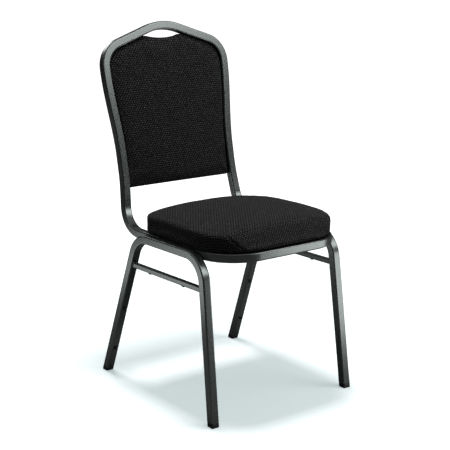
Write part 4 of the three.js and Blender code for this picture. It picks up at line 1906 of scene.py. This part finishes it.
@dataclass
class Studio:
    """Pale floor, soft lights and the camera.

    The camera looks at a point aside from and above the chair's middle, from a distance.
    The surround's levels are (height of the direction, brightness).
    """

    azimuth: float = math.radians(37.428)
    elevation: float = math.radians(13.889)
    roll: float = math.radians(0.272)
    lens: float = 90.98064
    sensor: float = 36.0
    distance: float = 2988.576
    aside: float = 1.709
    height: float = 426.793
    floor_half: float = 60.0
    floor_pale: tuple = (0.95, 0.95, 0.95)
    floor_mirrored: tuple = (0.13, 0.13, 0.13)
    floor_glow: tuple = (0.33, 0.41, 0.41)
    floor_glow_radii: tuple = (0.9, 2.4)
    surround: tuple = ((0.0, 0.015), (0.15, 0.02), (0.45, 0.12), (1.0, 0.30))
    boxes: tuple = (
        SoftBox("overhead_box", (0.0, 0.15, 2.8), (0.0, 0.15, 0.0), (0.55, 0.55), 51.0, mirrored=False),
        SoftBox("front_right_box", (2.0, -2.6, 2.58), (0.0, 0.0, 0.75), (2.2, 1.5), 29.0),
        SoftBox("rear_box", (0.3, 3.2, 2.0), (0.0, 0.0, 0.6), (1.4, 1.2), 14.0),
        SoftBox("right_card", (0.99, -0.975, 0.265), (0.0, 0.0, 0.265), (0.82, 0.52), 2.75),
        SoftBox("left_floor_card", (-1.12, 0.88, 0.02), (-1.12, 0.88, 1.0), (0.75, 0.85), 2.3),
    )

    def build(self) -> None:
        """Makes the whole studio."""
        self.build_floor()
        self.build_world()
        for box in self.boxes:
            box.build()
        self.build_camera()
        bpy.context.scene.view_settings.view_transform = "Standard"

    def build_floor(self) -> None:
        """Makes the floor.

        It is pale to the camera and dim in reflections. It glows a little to the camera,
        and more with the distance from the chair, so that it runs out to white.
        """
        black, white = (0.0, 0.0, 0.0), (1.0, 1.0, 1.0)
        half = self.floor_half
        data = bpy.data.meshes.new("floor")
        data.from_pydata([(-half, -half, 0), (half, -half, 0), (half, half, 0), (-half, half, 0)],
                         [], [(0, 1, 2, 3)])
        graph = Graph("pale_floor")
        seen = Value(graph, graph.node("LightPath").outputs["Is Camera Ray"])
        reach = graph.node("VectorMath", {"operation": "LENGTH"}, {0: graph.coordinates()})
        far = Value(graph, reach.outputs["Value"]).ramp(*self.floor_glow_radii)
        glow = graph.mix(far, self.floor_glow, white)
        data.materials.append(graph.finish(
            Base_Color=graph.mix(seen, self.floor_mirrored, self.floor_pale),
            Roughness=0.9,
            Specular_IOR_Level=0.0,
            Emission_Strength=1.0,
            Emission_Color=graph.mix(seen, black, glow),
        ))
        link("floor", data)

    def build_world(self) -> None:
        """Makes a surround that is pale to the camera and dim near the horizon to the paint."""
        world = bpy.data.worlds.new("studio_surround")
        world.use_nodes = True
        bpy.context.scene.world = world
        tree = world.node_tree
        where = tree.nodes.new("ShaderNodeTexCoord")
        split = tree.nodes.new("ShaderNodeSeparateXYZ")
        ramp = tree.nodes.new("ShaderNodeValToRGB")
        path = tree.nodes.new("ShaderNodeLightPath")
        mix = tree.nodes.new("ShaderNodeMix")
        mix.data_type = "RGBA"
        elements = ramp.color_ramp.elements
        while len(elements) < len(self.surround):
            elements.new(1.0)
        for element, (height, level) in zip(elements, self.surround):
            element.position, element.color = height, (level, level, level, 1.0)
        mix.inputs[7].default_value = (1.0, 1.0, 1.0, 1.0)
        background = tree.nodes["Background"]
        tree.links.new(where.outputs["Generated"], split.inputs[0])
        tree.links.new(split.outputs[2], ramp.inputs[0])
        tree.links.new(path.outputs["Is Camera Ray"], mix.inputs[0])
        tree.links.new(ramp.outputs[0], mix.inputs[6])
        tree.links.new(mix.outputs[2], background.inputs[0])

    def build_camera(self) -> None:
        """Makes the camera, which looks along its azimuth and down by its elevation."""
        ahead = np.array([math.sin(self.azimuth) * math.cos(self.elevation),
                          math.cos(self.azimuth) * math.cos(self.elevation), -math.sin(self.elevation)])
        level = np.array([math.cos(self.azimuth), -math.sin(self.azimuth), 0.0])
        over = np.cross(level, ahead)
        cos, sin = math.cos(self.roll), math.sin(self.roll)
        at = level * self.aside + UP * self.height - ahead * self.distance
        data = bpy.data.cameras.new("camera")
        data.sensor_width, data.lens = self.sensor, self.lens
        camera = link("camera", data)
        camera.matrix_world = looking(level * cos + over * sin, over * cos - level * sin, -ahead,
                                      FRAMES.floor(at))
        bpy.context.scene.camera = camera


# ------------------------------------------------------------------ assembly


def main() -> None:
    """Builds the studio, the frame and the upholstery."""
    logging.basicConfig(level=logging.INFO, format="%(name)s: %(message)s")
    Studio().build()
    finishes = {
        Slot.PAINT.value: PowderCoat().material(),
        Slot.STEEL.value: ZincPlate().material(),
        Slot.PLASTIC.value: MouldedPlastic().material(),
        Slot.CLOTH.value: RibbedCloth().material(),
        Slot.DUST.value: NonWoven().material(),
        Slot.FOAM.value: CutFoam().material(),
        Slot.PLYWOOD.value: Plywood().material(),
    }
    paint, plastic = finishes[Slot.PAINT.value], finishes[Slot.PLASTIC.value]
    cloth, wood = finishes[Slot.CLOTH.value], finishes[Slot.PLYWOOD.value]
    HOOP.build(paint)
    SeatRails().build(paint)
    for side in Side:
        LegFrame().build(side, paint, plastic)
    seat = SeatCushion()
    seat.build(cloth, wood)
    BackPad().build(cloth, wood)
    DustCover().build(seat, finishes[Slot.DUST.value])
    dress_nodes(finishes)


if __name__ == "__main__":
    main()
